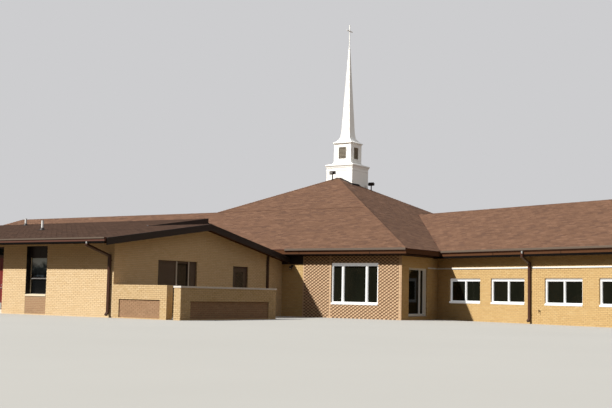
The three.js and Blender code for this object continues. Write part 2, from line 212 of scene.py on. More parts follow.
def wallFinish(name, brick, turn=0.0):
    # brickwork drawn on the wall itself, in line with the laid bricks, for reveals and inner faces
    finish = Finish(name)
    angle = math.radians(turn)
    aligned = lambda vector: finish.node(
        "ShaderNodeVectorRotate", {"rotation_type": "Z_AXIS"}, {"Vector": vector, "Angle": angle})
    spot = aligned(finish.spot())
    side = abs(finish.part(aligned(finish.normal()), "X")) > 0.5
    along = finish.part(spot, "X") * (1 - side) + finish.part(spot, "Y") * side
    level = finish.part(spot, "Z") / (course * toModel)
    row = level.floor()
    pace = along / (brickLength * toModel) + row * 0.5
    bed = level.wrap() > 1 - joint / course
    head = pace.wrap() > 1 - joint / brickLength
    gaps = bed.maths("MAXIMUM", bed, head)
    cell = finish.node("ShaderNodeCombineXYZ", sockets={0: pace.floor(), 1: row})
    tone = finish.node("ShaderNodeTexWhiteNoise", {"noise_dimensions": "2D"}, {"Vector": cell})
    grit = finish.noise(500, 3)
    body = finish.mix(tone * 0.5 + grit * 0.3, brick, paint(120, 84, 52))
    colour = finish.mix(gaps, body, brickLooks["mortar"])
    normal = finish.bump((1 - gaps) * 0.6 + grit * 0.2, 0.001)
    return finish.surface(Base_Color=colour, Roughness=0.95, Normal=normal)


def shingleFinish(name, dark, middle, light):
    finish = Finish(name)
    tone = finish.island() * 0.7 + finish.noise(2.2, 3) * 0.3
    body = finish.ramp(tone, [(0.1, dark), (0.45, middle), (0.6, middle), (0.95, light)])
    grit = finish.noise(900, 3, 0.8)
    grains = finish.mix((grit - 0.35) * 0.5, body, paint(58, 44, 38))
    return finish.surface(Base_Color=grains, Roughness=0.96, Normal=finish.bump(grit, 0.0008, 0.6))


def roofShellFinish(name, top, edge):
    # shingles from above, painted boards at the edges and below
    finish = Finish(name)
    up = finish.part(finish.normal(), "Z") > 0.2
    grit = finish.noise(400, 3)
    boards = finish.mix(finish.noise(30, 2) * 0.4, edge, paint(34, 25, 22))
    shingles = finish.mix(grit * 0.6, top, paint(70, 52, 44))
    colour = finish.mix(up, boards, shingles)
    normal = finish.bump(grit * up, 0.001)
    return finish.surface(Base_Color=colour, Roughness=0.85, Specular_IOR_Level=0.1, Normal=normal)


def paintFinish(name, colour, worn, roughness=0.45, coat=0.0, lift=0.0, shine=0.5):
    # painted metal with faint clouding, dust and a slight orange peel; lift is a faint glow, painted light
    # that brightens it in the shade
    finish = Finish(name)
    cloud = finish.noise(6, 4, 0.6)
    streak = finish.noise(1, 3, 0.6, finish.stretched(60, 60, 4))
    body = finish.mix(cloud * 0.35 + streak * 0.35, colour, worn)
    rough = cloud * 0.12 + (roughness - 0.06)
    normal = finish.bump(finish.noise(260, 2), 0.0002, 0.4)
    finish.surface(Emission_Color=(0.93, 0.96, 1.0, 1.0), Emission_Strength=lift, Specular_IOR_Level=shine)
    return finish.surface(Base_Color=body, Roughness=rough, Coat_Weight=coat, Normal=normal)


def glassFinish(name, colour, streaks):
    finish = Finish(name)
    veil = finish.noise(1, 3, 0.6, finish.stretched(5, 5, 1.2))
    body = finish.mix(veil, colour, streaks)
    return finish.surface(Base_Color=body, Roughness=veil * 0.05 + 0.04, Specular_IOR_Level=0.25)


def skyReflectGlassFinish(name, low, between, high, bottom, top):
    # dark glass that pales with height, a painted reflection of a bright sky over a dark edge
    finish = Finish(name)
    cloud = finish.noise(5.5, 4, 0.6)
    height = finish.part(finish.spot(), "Z") - bottom * toModel
    rise = height / ((top - bottom) * toModel) + (cloud - 0.5) * 1.1
    body = finish.ramp(rise, [(0.1, low), (0.5, between), (0.85, high)])
    return finish.surface(Base_Color=body, Roughness=cloud * 0.05 + 0.04, Specular_IOR_Level=0.25)


def concreteFinish(name, colour, stain):
    finish = Finish(name)
    cloud = finish.noise(7, 5, 0.6)
    pores = finish.noise(350, 3)
    body = finish.mix(cloud * 0.6 + pores * 0.2, colour, stain)
    return finish.surface(Base_Color=body, Roughness=0.9, Normal=finish.bump(pores + cloud, 0.0006))


# how it is made, its name, its screen colours, and then any other values that its function takes
finishTable = {
    "yellowBrick": (brickFinish, "yellow brick", (200, 168, 118), (214, 184, 138), (226, 199, 156)),
    "paleBrick": (brickFinish, "pale yellow brick", (220, 188, 142), (231, 202, 158), (240, 214, 175)),
    "deepBrick": (brickFinish, "deep yellow brick", (196, 160, 104), (209, 175, 119), (220, 190, 136)),
    "yellowWall": (wallFinish, "yellow brick wall", (214, 182, 134)),
    "yellowWingWall": (wallFinish, "turned yellow brick wall", (214, 182, 134), wingTurn),
    "brownBrick": (brickFinish, "brown brick", (150, 116, 86), (166, 130, 98), (182, 146, 114)),
    # the next two are one brown brick, darkened as painted shade where it lies back and paled as painted
    # light where it stands out
    "shadedRecessBrick": (brickFinish, "dark brown brick", (122, 92, 68), (138, 106, 80), (154, 120, 92)),
    "litHeaderBrick": (brickFinish, "raised header brick", (200, 166, 132), (215, 181, 145), (228, 196, 162)),
    "brownWall": (wallFinish, "brown brick wall", (120, 84, 58)),
    "shingle": (shingleFinish, "red-brown shingle", (94, 65, 48), (110, 78, 57), (126, 92, 70)),
    "dullShingle": (shingleFinish, "dull red-brown shingle", (82, 57, 43), (97, 69, 52), (112, 82, 64)),
    "darkShingle": (shingleFinish, "dark brown shingle", (66, 47, 37), (80, 58, 46), (94, 70, 56)),
    "roofShell": (roofShellFinish, "roof deck and fascia", (104, 72, 58), (94, 61, 39)),
    "white": (paintFinish, "white paint", (228, 228, 226), (216, 215, 212)),
    # window white with lift 0.2: it glows faintly, painted light for its shaded faces
    "glowingWindowWhite": (paintFinish, "white window paint", (228, 228, 226), (216, 215, 212), 0.45, 0.0, 0.2),
    "steepleWhite": (paintFinish, "steeple white paint", (246, 245, 240), (238, 237, 232)),
    "brown": (paintFinish, "brown paint", (98, 62, 50), (74, 46, 38), 0.4),
    "spout": (paintFinish, "dark brown paint", (84, 54, 42), (58, 38, 32), 0.35),
    "black": (paintFinish, "near-black paint", (44, 34, 30), (30, 24, 24), 0.5),
    "louvre": (paintFinish, "louvre paint", (128, 118, 101), (100, 90, 76), 0.6),
    "glass": (glassFinish, "dark glass", (11, 12, 9), (29, 30, 22)),
    # glass with the sky's reflection painted into its colour
    "skyReflectGlass": (skyReflectGlassFinish, "glass with sky", (16, 17, 18), (74, 88, 97), (200, 214, 224), 1400, 2200),
    "maroon": (paintFinish, "maroon door paint", (132, 50, 48), (104, 38, 38), 0.35, 0.2),
    "doorBrown": (paintFinish, "brown door stain", (92, 74, 58), (66, 52, 40), 0.5),
    "windowBrown": (paintFinish, "dark window paint", (44, 36, 34), (32, 27, 27), 0.4),
    # a paler grey for the gutters' upper face: painted highlight
    "gutterLipHighlight": (paintFinish, "dusty gutter paint", (104, 90, 78), (86, 72, 62), 0.5),
    "aluminium": (paintFinish, "dull aluminium", (170, 172, 170), (140, 142, 142), 0.4),
    "paleTrim": (paintFinish, "pale trim paint", (206, 196, 182), (178, 168, 154), 0.5),
    "cream": (paintFinish, "cream sill paint", (236, 222, 196), (214, 198, 170), 0.5),
    # flat black with little shine, painted shade: the hems and strips under the eaves stand where there is
    # only shadow
    "shadeHem": (paintFinish, "dull black hem", (16, 12, 10), (10, 8, 7), 0.8, 0.0, 0.0, 0.05),
    "gasket": (paintFinish, "black rubber", (20, 20, 20), (30, 29, 28), 0.7),
    "brass": (paintFinish, "dull brass", (120, 96, 60), (84, 66, 44), 0.4),
    "concrete": (concreteFinish, "grey concrete", (230, 222, 212), (204, 194, 182)),
}
finishes = {}
for key, (make, label, *values) in finishTable.items():
    finishes[key] = make(label, *[paint(*value) if isinstance(value, tuple) else value for value in values])
print("finishes made:", len(finishes))


# Meshes built from points and faces
boxFaces = [(3, 2, 1, 0), (4, 5, 6, 7), (0, 1, 5, 4), (1, 2, 6, 5), (2, 3, 7, 6), (3, 0, 4, 7)]
corners = ((-1, -1), (1, -1), (1, 1), (-1, 1))


class Shape:
    # what is added lies at the shape's own place, unless it brings another
    def __init__(self, place=None):
        self.place = place
        self.points = []
        self.faces = []
        self.marks = []

    def add(self, points, faces, mark=0, place=None):
        start = len(self.points)
        place = self.place if place is None else place
        if place is not None:
            points = [place @ Vector(point) for point in points]
        self.points.extend(points)
        self.faces.extend([tuple(start + corner for corner in face) for face in faces])
        self.marks.extend([mark] * len(faces))

    def box(self, low, high, mark=0, place=None):
        (x0, y0, z0), (x1, y1, z1) = low, high
        points = [(x, y, z) for z in (z0, z1) for x, y in ((x0, y0), (x1, y0), (x1, y1), (x0, y1))]
        self.add(points, boxFaces, mark, place)

    def skin(self, rings, mark=0, place=None, closed=False):
        # a skin through like rings of points, closed on itself or with its ends filled
        count = len(rings[0])
        points = [point for ring in rings for point in ring]
        total = len(points)
        faces = []
        for row in range(0, total if closed else total - count, count):
            onward = (row + count) % total
            for k in range(count):
                after = (k + 1) % count
                faces.append((row + k, row + after, onward + after, onward + k))
        if not closed:
            faces += [tuple(range(count))[::-1], tuple(range(total - count, total))]
        self.add(points, faces, mark, place)

    def prism(self, outline, start, end, *at):
        # an outline in y and z drawn out along x; at is a mark and a place here and below
        self.skin([[(x, y, z) for y, z in outline] for x in (start, end)], *at)

    def post(self, outline, low, high, *at):
        # an outline in x and y raised from low to high
        self.skin([[(x, y, z) for x, y in outline] for z in (low, high)], *at)

    def frameRing(self, across, profile, *at):
        # a mitred frame in a wall: profile points are inset and depth into the wall
        x0, x1, z0, z1 = across
        turns = [(x0, z0, 1, 1), (x1, z0, -1, 1), (x1, z1, -1, -1), (x0, z1, 1, -1)]
        rings = [[(x + i * inset, depth, z + j * inset) for inset, depth in profile] for x, z, i, j in turns]
        self.skin(rings, *at, closed=True)

    def collar(self, profile):
        # a mitred band round a square tower: profile points are half width and height
        self.skin([[(i * half, j * half, z) for half, z in profile] for i, j in corners], closed=True)

    def turned(self, profile, place=None, mark=0, steps=20):
        # a round piece about local z: profile points are radius and height
        circle = [2 * math.pi * k / steps for k in range(steps)]
        rings = [[(radius * math.cos(a), radius * math.sin(a), z) for a in circle] for radius, z in profile]
        self.skin(rings, mark, place)

    def sweep(self, section, path, mark=0):
        # a section drawn along a bent path, mitred at each bend
        path = [Vector(point) for point in path]
        ways = [(after - before).normalized() for before, after in zip(path, path[1:])]
        across = Vector((1, 0, 0))
        across = (across - across.dot(ways[0]) * ways[0]).normalized()
        turn = Matrix((across, ways[0].cross(across), ways[0])).transposed()
        rings = [[path[0] + turn @ Vector((a, b, 0)) for a, b in section]]
        for point, way, onward in zip(path[1:], ways, ways[1:] + ways[-1:]):
            level = (way + onward).normalized()
            offsets = [turn @ Vector((a, b, 0)) for a, b in section]
            rings.append([point + offset - way * (offset.dot(level) / way.dot(level)) for offset in offsets])
            turn = way.rotation_difference(onward).to_matrix() @ turn
        self.skin(rings, mark)


def addObject(name, data):
    made = bpy.data.objects.new(name, data)
    bpy.context.scene.collection.objects.link(made)
    return made


def makePiece(name, shape, looks, body="building", replaces=(), mend=True):
    mesh = bpy.data.meshes.new(name)
    mesh.from_pydata([tuple(value * toModel for value in point) for point in shape.points], [], shape.faces)
    for look in looks:
        mesh.materials.append(finishes[look])
    mesh.polygons.foreach_set("material_index", shape.marks)
    if mend:
        work = bmesh.new()
        work.from_mesh(mesh)
        bmesh.ops.recalc_face_normals(work, faces=work.faces)
        work.to_mesh(mesh)
        work.free()
    mesh.update()
    piece = addObject(name, mesh)
    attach(piece, body)
    if replaces:
        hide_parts(*replaces)


def dressNode(node, shape, looks):
    # a piece that shows in the node's stead
    makePiece(node + "_dressed", shape, looks, replaces=[node])


def wallPlace(x, y, degrees=0.0, base=Matrix()):
    # local x along the wall, y into it, z up
    return base @ (moved(x, y) @ rotated(degrees))


# The plan, read from the frame
roofPitch = 0.46
leftPitch = 0.1508
backPitch = 0.2004
roofDepth = 185.0
wingRoot = -5674.0  # where the right wing's front meets the hall's east wall
wingLength = 11545.0
wingDepth = 9064.0
wingEave = 433.0
hallHalf, _, soffit = sides("hall_east_wall")[1]
brownStart = sides("hall_window_wall")[0].x
eaveHalf, _, peak = sides("hall_roof")[1]
frontY = sides("left_wing_front_wall_east")[0].y
leftEndX = sides("left_wing_front_wall_west")[0].x
gableX = sides("gable_wall_south")[1].x
rearEndX = sides("rear_wing_walls")[0].x
rearNorthY = sides("rear_wing_walls")[1].y
leftWestX, leftEaveY, leftFoot = sides("left_wing_roof_front")[0]
leftRakeX, shedY, _ = sides("left_wing_roof_front")[1]
crossX, ridgeY, _ = sides("left_wing_roof_back")[0]
shedWallY = sides("left_wing_back_wall")[1].y
linkTop = sides("left_wing_link_roof")[1].z
eaveTop = peak - roofPitch * eaveHalf
leftEaveTop = leftFoot + roofDepth
overhang = eaveHalf - hallHalf
rearMiddle = (rearNorthY - hallHalf) / 2
rearRun = rearMiddle + eaveHalf
rearRidge = eaveTop + roofPitch * rearRun
rearWest = rearEndX - overhang
wingRun = wingDepth / 2 + wingEave
wing = wallPlace(hallHalf, wingRoot, -wingTurn)
hallFront = wallPlace(0, -hallHalf)
hallEastFace = wallPlace(hallHalf, 0, 90)
leftFront = wallPlace(0, frontY)
gableFace = wallPlace(gableX, 0, 90)


def leftTop(y):
    return leftEaveTop + leftPitch * (y - leftEaveY)


def gableTop(y):
    return min(leftTop(y), leftTop(ridgeY) - backPitch * (y - ridgeY))


def hallHeight(x, y):
    return eaveTop + roofPitch * (eaveHalf - max(abs(x), abs(y)))


def rearHeight(x, y):
    return eaveTop + roofPitch * (rearRun - abs(y - rearMiddle))


def wingHeight(x, y):
    spot = wing.inverted() @ Vector((x, y, 0))
    return eaveTop + roofPitch * min(wingRun - abs(spot.y - wingDepth / 2), wingLength + wingEave - spot.x)


def opening(node, axis=0, low=None):
    # a node's stretch along a wall and its height, as an opening
    start, end = sides(node)
    return (start[axis], end[axis], start.z if low is None else low, end.z)


# Laid bricks
brickwork = {
    "proud": 8.0,
    "sunk": 6.0,
    "shortest": 18.0,
    "uneven": 1.2,
    "header": 24.0,
    "stretcher": 1.0,
    "wingWindowHalf": 937.0,
    "panelLow": 30.0,
    "panelDeep": 40.0,
    "southPanel": (3158, 5150, 30.0, 690),
    "eastPanel": (-18982, -14364, 30.0, 660),
}
proud, sunk = brickwork["proud"], brickwork["sunk"]


def layBricks(shape, place, start, end, low, top, openings=(), mark=0, stand=proud, crown=None):
    # top is a height, or a function that gives it along the wall
    height = top if callable(top) else lambda along: top
    crown = crown or max(height(start), height(end))
    for row in range(int(low // course), int(crown // course) + 1):
        bottom = max(row * course, low)
        ceiling = (row + 1) * course - joint
        near = [gap for gap in openings if gap[2] < ceiling and gap[3] > bottom]
        edges = sorted({start, end, *(min(max(edge, start), end) for gap in near for edge in gap[:2])})
        for left, right in zip(edges, edges[1:]):
            middle = (left + right) / 2
            lift, drop = bottom, ceiling
            for gap in near:
                if gap[0] < middle < gap[1]:
                    if gap[2] - bottom > ceiling - gap[3]:
                        drop = min(drop, gap[2])
                    else:
                        lift = max(lift, gap[3])
            if drop - lift < 8:
                continue
            shift = (row % 2) * brickLength / 2
            first = math.floor((left - shift) / brickLength)
            for count in range(first, int((right - shift) // brickLength) + 1):
                a = max(count * brickLength + shift, left)
                b = min(count * brickLength + shift + brickLength - joint, right)
                if b - a < brickwork["shortest"]:
                    continue
                topLeft, topRight = min(drop, height(a)), min(drop, height(b))
                if max(topLeft, topRight) < lift + 6:
                    continue
                topLeft, topRight = max(topLeft, lift + 1), max(topRight, lift + 1)
                out = -stand - draw.uniform(0, brickwork["uneven"])
                points = [(a, out, lift), (b, out, lift), (b, sunk, lift), (a, sunk, lift)]
                points += [(a, out, topLeft), (b, out, topRight), (b, sunk, topRight), (a, sunk, topLeft)]
                shape.add(points, boxFaces, mark, place)


def layPatternBricks(shape, start, end, top, gap, plain):
    # headers that stand out and lie back by turns round an opening, with plain strips at some edges; the
    # standing headers and plain strips take a paler finish, painted light, and the ones that lie back a
    # darker one, painted shade
    pace = brickLength / 2
    for row in range(int(top // course) + 1):
        for count in range(int(start // pace), int(end // pace) + 1):
            a, b = max(count * pace, start), min((count + 1) * pace - joint, end)
            bottom, ceiling = row * course, min((row + 1) * course - joint, top)
            if b > gap[0] and a < gap[1] and ceiling > gap[2] and bottom < gap[3]:
                if gap[2] - bottom > 8:
                    ceiling = gap[2]
                elif ceiling - gap[3] > 8:
                    bottom = gap[3]
                elif gap[0] - a > b - gap[1]:
                    b = gap[0]
                else:
                    a = gap[1]
            if b - a < brickwork["shortest"] or ceiling - bottom < 8:
                continue
            middle = (a + b) / 2
            raised = (count + row) % 2 == 0
            out = brickwork["header"] if raised else brickwork["stretcher"]
            if any(left < middle < right for left, right in plain):
                out, raised = proud, True
            # mark 1 is the paler brick, painted light on the raised headers; mark 0 is the darker one,
            # painted shade in the hollows
            shape.box((a, -out, bottom), (b, sunk, ceiling), int(raised))


stripWindows = [f"strip_window_{number}" for number in (1, 2, 3)]
wingWindows = [f"right_wing_window_{number}" for number in (1, 2, 3, 4)]


def wingOpening(node):
    # a right wing window's opening, measured along its wall
    low, high = sides(node)
    middle = (wing.inverted() @ Vector(((low.x + high.x) / 2, (low.y + high.y) / 2, 0))).x
    half = brickwork["wingWindowHalf"]
    return (middle - half, middle + half, low.z - 1, high.z + 1)


def leftWalls():
    shape = Shape()
    windows = [opening(node) for node in stripWindows]
    panels = [(a, b, brickwork["panelLow"], low) for a, b, low, high in windows]
    gaps = windows + panels + [opening("left_entry_frame", low=0.0)]
    layBricks(shape, leftFront, leftEndX - proud, gableX + proud, 0, leftTop(frontY) - roofDepth, gaps)
    for panel in panels:
        layBricks(shape, leftFront, *panel, mark=1, stand=1.5)
    gaps = [opening("courtyard_window", 1), opening("courtyard_door_frame", 1, 0.0)]
    bottom = lambda y: gableTop(y) - roofDepth
    layBricks(shape, gableFace, frontY, -hallHalf, 0, bottom, gaps, crown=bottom(ridgeY))
    west = wallPlace(leftEndX, 0, -90)
    layBricks(shape, west, -shedWallY, -frontY, 0, lambda y: leftTop(-y) - roofDepth)
    layBricks(shape, west, hallHalf, -shedWallY, 0, linkTop - 150)
    back = wallPlace(0, shedWallY, 180)
    layBricks(shape, back, -crossX + 300, -leftEndX, linkTop, leftTop(shedWallY) - roofDepth)
    makePiece("left_wing_brickwork", shape, ["paleBrick", "brownBrick"], mend=False)


def hallWalls():
    shape = Shape()
    wingEnd = wingRoot + wingDepth / math.cos(math.radians(wingTurn))
    for place, start, end, gaps in (
            (hallFront, gableX, brownStart, []),
            (hallFront, rearEndX - proud, leftEndX, []),
            (hallEastFace, -hallHalf, wingRoot, [opening("east_screen", 1)]),
            (hallEastFace, wingEnd, hallHalf, []),
            (wallPlace(0, hallHalf, 180), -hallHalf - proud, hallHalf + proud, []),
            (wallPlace(-hallHalf, 0, -90), -hallHalf, -rearNorthY, []),
            (wallPlace(0, rearNorthY, 180), hallHalf, -rearEndX + proud, []),
            (wallPlace(rearEndX, 0, -90), -rearNorthY, hallHalf, [])):
        layBricks(shape, place, start, end, 0, soffit, gaps)
    makePiece("hall_brickwork", shape, ["deepBrick"], mend=False)
    shape = Shape(hallFront)
    gap = opening("picture_window")
    end = hallHalf + proud
    plain = [(brownStart, brownStart + 90), (gap[0] - 130, gap[0]), (hallHalf - 130, end)]
    layPatternBricks(shape, brownStart, end, soffit, gap, plain)
    makePiece("hall_window_wall_brickwork", shape, ["shadedRecessBrick", "litHeaderBrick"], mend=False)


def wingWalls():
    shape = Shape()
    layBricks(shape, wing, 0, wingLength + proud, 0, soffit, [wingOpening(node) for node in wingWindows])
    layBricks(shape, wallPlace(wingLength, 0, 90, wing), 0, wingDepth, 0, soffit)
    skew = math.tan(math.radians(wingTurn)) * wingDepth
    layBricks(shape, wallPlace(0, wingDepth, 180, wing), -wingLength - proud, skew, 0, soffit)
    makePiece("right_wing_brickwork", shape, ["deepBrick"], mend=False)


def courtyardWalls():
    shape = Shape()
    deep = brickwork["panelDeep"]
    low, high = sides("courtyard_wall_south")
    panel = brickwork["southPanel"]
    layBricks(shape, leftFront, low.x, high.x + proud, 0, high.z, [panel])
    layBricks(shape, wallPlace(0, frontY + deep), *panel, mark=1)
    layBricks(shape, wallPlace(0, high.y, 180), -high.x - proud, -low.x, 0, high.z)
    layBricks(shape, wallPlace(high.x, 0, 90), low.y, high.y, 0, high.z)
    low, high = sides("courtyard_wall_east")
    panel = brickwork["eastPanel"]
    layBricks(shape, wallPlace(high.x, 0, 90), low.y - proud, high.y + proud, 0, high.z, [panel])
    layBricks(shape, wallPlace(high.x - deep, 0, 90), *panel, mark=1)
    layBricks(shape, wallPlace(low.x, 0, -90), -high.y - proud, -low.y + proud, 0, high.z)
    layBricks(shape, wallPlace(0, low.y), low.x, high.x, 0, high.z)
    layBricks(shape, wallPlace(0, high.y, 180), -high.x, -low.x, 0, high.z)
    makePiece("courtyard_brickwork", shape, ["yellowBrick", "brownBrick"], mend=False)


leftWalls()
hallWalls()
wingWalls()
courtyardWalls()
print("bricks laid")


# Shingles
roofing = {
    "exposure": 140.0,
    "tab": 305.0,
    "gap": 7.0,
    "butt": 11.0,
    "lap": 24.0,
    "cap": 150.0,
    "capHalf": 150.0,
    "belowPeak": 20.0,
    "rearTuck": 400.0,
    "wingReach": 8000.0,
}


def roofPlace(x, y, degrees, base=Matrix(), z=eaveTop, pitch=roofPitch):
    # local x along the eave, y up the slope, z out of the roof
    return base @ (moved(x, y, z) @ rotated(degrees) @ Matrix.Rotation(math.atan(pitch), 4, "X"))


def layShingles(shape, place, field, hidden=None, pitch=roofPitch):
    # field: the run at the low and high end, each with its left and right edge
    (run0, left0, right0), (run1, left1, right1) = field
    factor = math.sqrt(1 + pitch * pitch)
    step, tab = roofing["exposure"], roofing["tab"]
    edge = lambda v, a, b: a + (b - a) * (v / factor - run0) / (run1 - run0)
    bend = lambda u, left, right: min(max(u, left), right)
    row = int(run0 * factor // step)
    while row * step < run1 * factor:
        bottom = max(row * step, run0 * factor)
        upper = min((row + 1) * step + roofing["lap"], run1 * factor)
        bottomLeft, bottomRight = edge(bottom, left0, left1), edge(bottom, right0, right1)
        topLeft, topRight = edge(upper, left0, left1), edge(upper, right0, right1)
        low, high = min(bottomLeft, topLeft), max(bottomRight, topRight)
        shift = (row % 2) * tab / 2 + (row * 37) % 60
        for count in range(math.floor((low - shift) / tab), int((high - shift) // tab) + 1):
            a = count * tab + shift
            b = a + tab - roofing["gap"]
            a0, b0 = bend(a, bottomLeft, bottomRight), bend(b, bottomLeft, bottomRight)
            a1, b1 = bend(a, topLeft, topRight), bend(b, topLeft, topRight)
            if b0 - a0 < 12 or b1 < a1:
                continue
            b1 = max(b1, a1 + 1)
            if hidden and hidden(place @ Vector(((a0 + b0) / 2, bottom, 0))):
                continue
            butt = roofing["butt"] + draw.uniform(-2, 3)
            points = [(a0, bottom, -3), (b0, bottom, -3), (a0, bottom, butt), (b0, bottom, butt)]
            points += [(a1, upper, -1), (b1, upper, -1)]
            faces = [(0, 1, 3, 2), (2, 3, 5, 4), (1, 0, 4, 5), (0, 2, 4), (3, 1, 5)]
            shape.add(points, faces, 0, place)
        row += 1


def layCaps(shape, start, end, leftSide, rightSide):
    # folded caps along a hip or ridge, from its low end
    start, end = Vector(start), Vector(end)
    along = (end - start).normalized()
    total = (end - start).length
    half = roofing["capHalf"]
    left, right = Vector(leftSide).normalized() * half, Vector(rightSide).normalized() * half
    up = -(left + right)
    up = (up - up.dot(along) * along).normalized() if up.length > 1 else Vector((0, 0, 1))
    count = int(total // roofing["cap"])
    for k in range(count + 1):
        near = k * total / (count + 1)
        far = min(near + total / (count + 1) + 40, total)
        rings = []
        for distance, lift in ((near, 20 + draw.uniform(-2, 2)), (far, 7)):
            middle = start + along * distance
            rise = up * lift
            rings.append([middle + left + rise, middle + rise * 1.3, middle + right + rise,
                          middle + right - up * 2, middle - up * 6, middle + left - up * 2])
        shape.skin(rings)


def under(height):
    # whether a spot is well below another roof
    return lambda spot: spot.z < height(spot.x, spot.y) - 60


def hallRoof():
    shape = Shape()
    triangle = lambda run: (run, -eaveHalf + run, eaveHalf - run)
    top = triangle(eaveHalf - roofing["belowPeak"])
    front = roofPlace(0, -eaveHalf, 0)
    layShingles(shape, front, [(0, rearWest, eaveHalf), (rearRun, rearWest + rearRun, eaveHalf - rearRun)])
    layShingles(shape, front, [triangle(rearRun), top])
    layShingles(shape, roofPlace(eaveHalf, 0, 90), [triangle(0), top], under(wingHeight))
    layShingles(shape, roofPlace(0, eaveHalf, 180), [triangle(0), top])
    layShingles(shape, roofPlace(-eaveHalf, 0, -90), [triangle(0), top], under(rearHeight))
    for cx, cy in ((1, -1), (1, 1), (-1, 1), (-1, -1)):
        low = (cx * eaveHalf, cy * eaveHalf, eaveTop)
        if (cx, cy) == (-1, -1):
            low = (-eaveHalf + rearRun, -eaveHalf + rearRun, rearRidge)
        layCaps(shape, low, (0, 0, peak), (-cx, 0, -0.001), (0, -cy, -0.001))
    makePiece("hall_shingles", shape, ["shingle"], mend=False)


def rearRoof():
    shape = Shape()
    hip = lambda run: (run, -(rearNorthY + overhang - run), eaveHalf - run)
    layShingles(shape, roofPlace(rearWest, 0, -90), [hip(0), hip(rearRun - roofing["belowPeak"])])
    inner = eaveHalf - roofing["rearTuck"]
    field = [(0, inner, -rearWest), (rearRun, inner - rearRun, -rearWest - rearRun)]
    layShingles(shape, roofPlace(0, rearNorthY + overhang, 180), field, under(hallHeight))
    makePiece("rear_wing_shingles", shape, ["dullShingle"], mend=False)


def wingRoof():
    shape = Shape()
    right = wingLength + wingEave
    far = wingDepth + wingEave
    reach = roofing["wingReach"]
    field = [(0, -reach, right), (wingRun, -reach, right - wingRun)]
    layShingles(shape, roofPlace(0, -wingEave, 0, wing), field, under(hallHeight))
    field = [(0, -right, reach), (wingRun, wingRun - right, reach)]
    layShingles(shape, roofPlace(0, far, 180, wing), field, under(hallHeight))
    hip = lambda run: (run, -wingEave + run, far - run)
    layShingles(shape, roofPlace(right, 0, 90, wing), [hip(0), hip(wingRun - roofing["belowPeak"])])
    makePiece("right_wing_shingles", shape, ["shingle"], mend=False)


def leftRoof():
    shape = Shape()
    front = roofPlace(0, leftEaveY, 0, z=leftEaveTop, pitch=leftPitch)
    toRidge, toShed = ridgeY - leftEaveY, shedY - leftEaveY
    for low, high, right in ((0, toRidge, leftRakeX), (toRidge, toShed, crossX)):
        layShingles(shape, front, [(low, leftWestX, right), (high, leftWestX, right)], pitch=leftPitch)
    run = -hallHalf - ridgeY
    back = roofPlace(0, -hallHalf, 180, z=leftTop(ridgeY) - backPitch * run, pitch=backPitch)
    layShingles(shape, back, [(0, -leftRakeX, -crossX), (run, -leftRakeX, -crossX)], pitch=backPitch)
    ends = [(x, ridgeY, leftTop(ridgeY)) for x in (leftRakeX, crossX)]
    layCaps(shape, *ends, (0, -1, -leftPitch), (0, 1, -backPitch))
    makePiece("left_wing_shingles", shape, ["darkShingle"], mend=False)


hallRoof()
rearRoof()
wingRoof()
leftRoof()
print("shingles laid")


# Windows
glazing = {
    "setback": 60.0,
    "depth": 100.0,
    "rim": [(0, -6), (18, -6), (24, 2), (24, 12), (0, 12)],
    "bead": [(-3, 10), (6, 12), (16, 40), (16, 47), (-3, 47)],
    "gasket": [(10, 44), (24, 44), (24, 50), (10, 50)],
    "pane": (46.0, 54.0),
    "casing": 10.0,
    "pictureEdges": (5548, 5992, 6100, 7192, 7297, 7771),
    "pictureHeights": (691, 2255),
    "stripInsets": (60, 50),
    "stripHeights": ((804, 1370), (1420, 2216)),
    "stripRail": (1387, 1401),
    "stripLiner": (806, 2212),
    "stripFoot": 800,
    "stripPanelFoot": 2262,
    "wingInsets": (56, 34, 64),
    "wingFootHead": (104, 114),
    "wingLatch": (1230, 1290),
    "courtLight": (-15990, -15330, 250, 2120),
    "courtPosts": ((-16058, -15992), (-15328, -15272)),
    "courtPostHeights": (160, 2190),
    "courtPanel": (250, 2100),
    "courtInnerPanel": (330, 1010),
    "screenEdges": ((-8290, -7280), (-7210, -6910), (-6850, -6760)),
    "screenHeights": (240, 2130),
}
setback = glazing["setback"]


def moulding(front, wide, flare, stand, back=2):
    # the profile of a strip round a panel
    return [(0, front - stand), (wide, front - stand), (flare, front + back), (0, front + back)]


def dressWindow(shape, across, lights, front, glass=2):
    # frame, beads, gaskets and panes of one unit; glass is the mark of its panes
    x0, x1, z0, z1 = across
    back = front + glazing["depth"]
    move = lambda profile: [(inset, front + y) for inset, y in profile]
    columns = sorted({light[:2] for light in lights})
    edges = [x0, *(edge for column in columns for edge in column), x1]
    for left, right in zip(edges[::2], edges[1::2]):
        shape.box((left, front, z0), (right, back, z1))
    for left, right in columns:
        stack = sorted(light[2:] for light in lights if light[0] == left)
        levels = [z0, *(level for span in stack for level in span), z1]
        for low, high in zip(levels[::2], levels[1::2]):
            shape.box((left, front, low), (right, back, high))
    shape.frameRing(across, move(glazing["rim"]))
    near, far = glazing["pane"]
    for light in lights:
        shape.frameRing(light, move(glazing["bead"]))
        shape.frameRing(light, [(inset, back - y) for inset, y in glazing["bead"]])
        shape.frameRing(light, move(glazing["gasket"]), glass - 1)
        a, b, low, high = light
        shape.box((a - 2, front + near, low - 2), (b + 2, front + far, high + 2), glass)


def addSill(shape, x0, x1, low, high, reach, inner, mark=0):
    # a sloping sill with a drip groove under its nose
    outline = [(-reach, low + 8), (-reach + 10, low + 8), (-reach + 10, low + 14), (-reach + 18, low + 14)]
    outline += [(-reach + 18, low + 4), (inner, low + 4), (inner, high), (-reach, high - 22)]
    shape.prism(outline, x0, x1, mark)


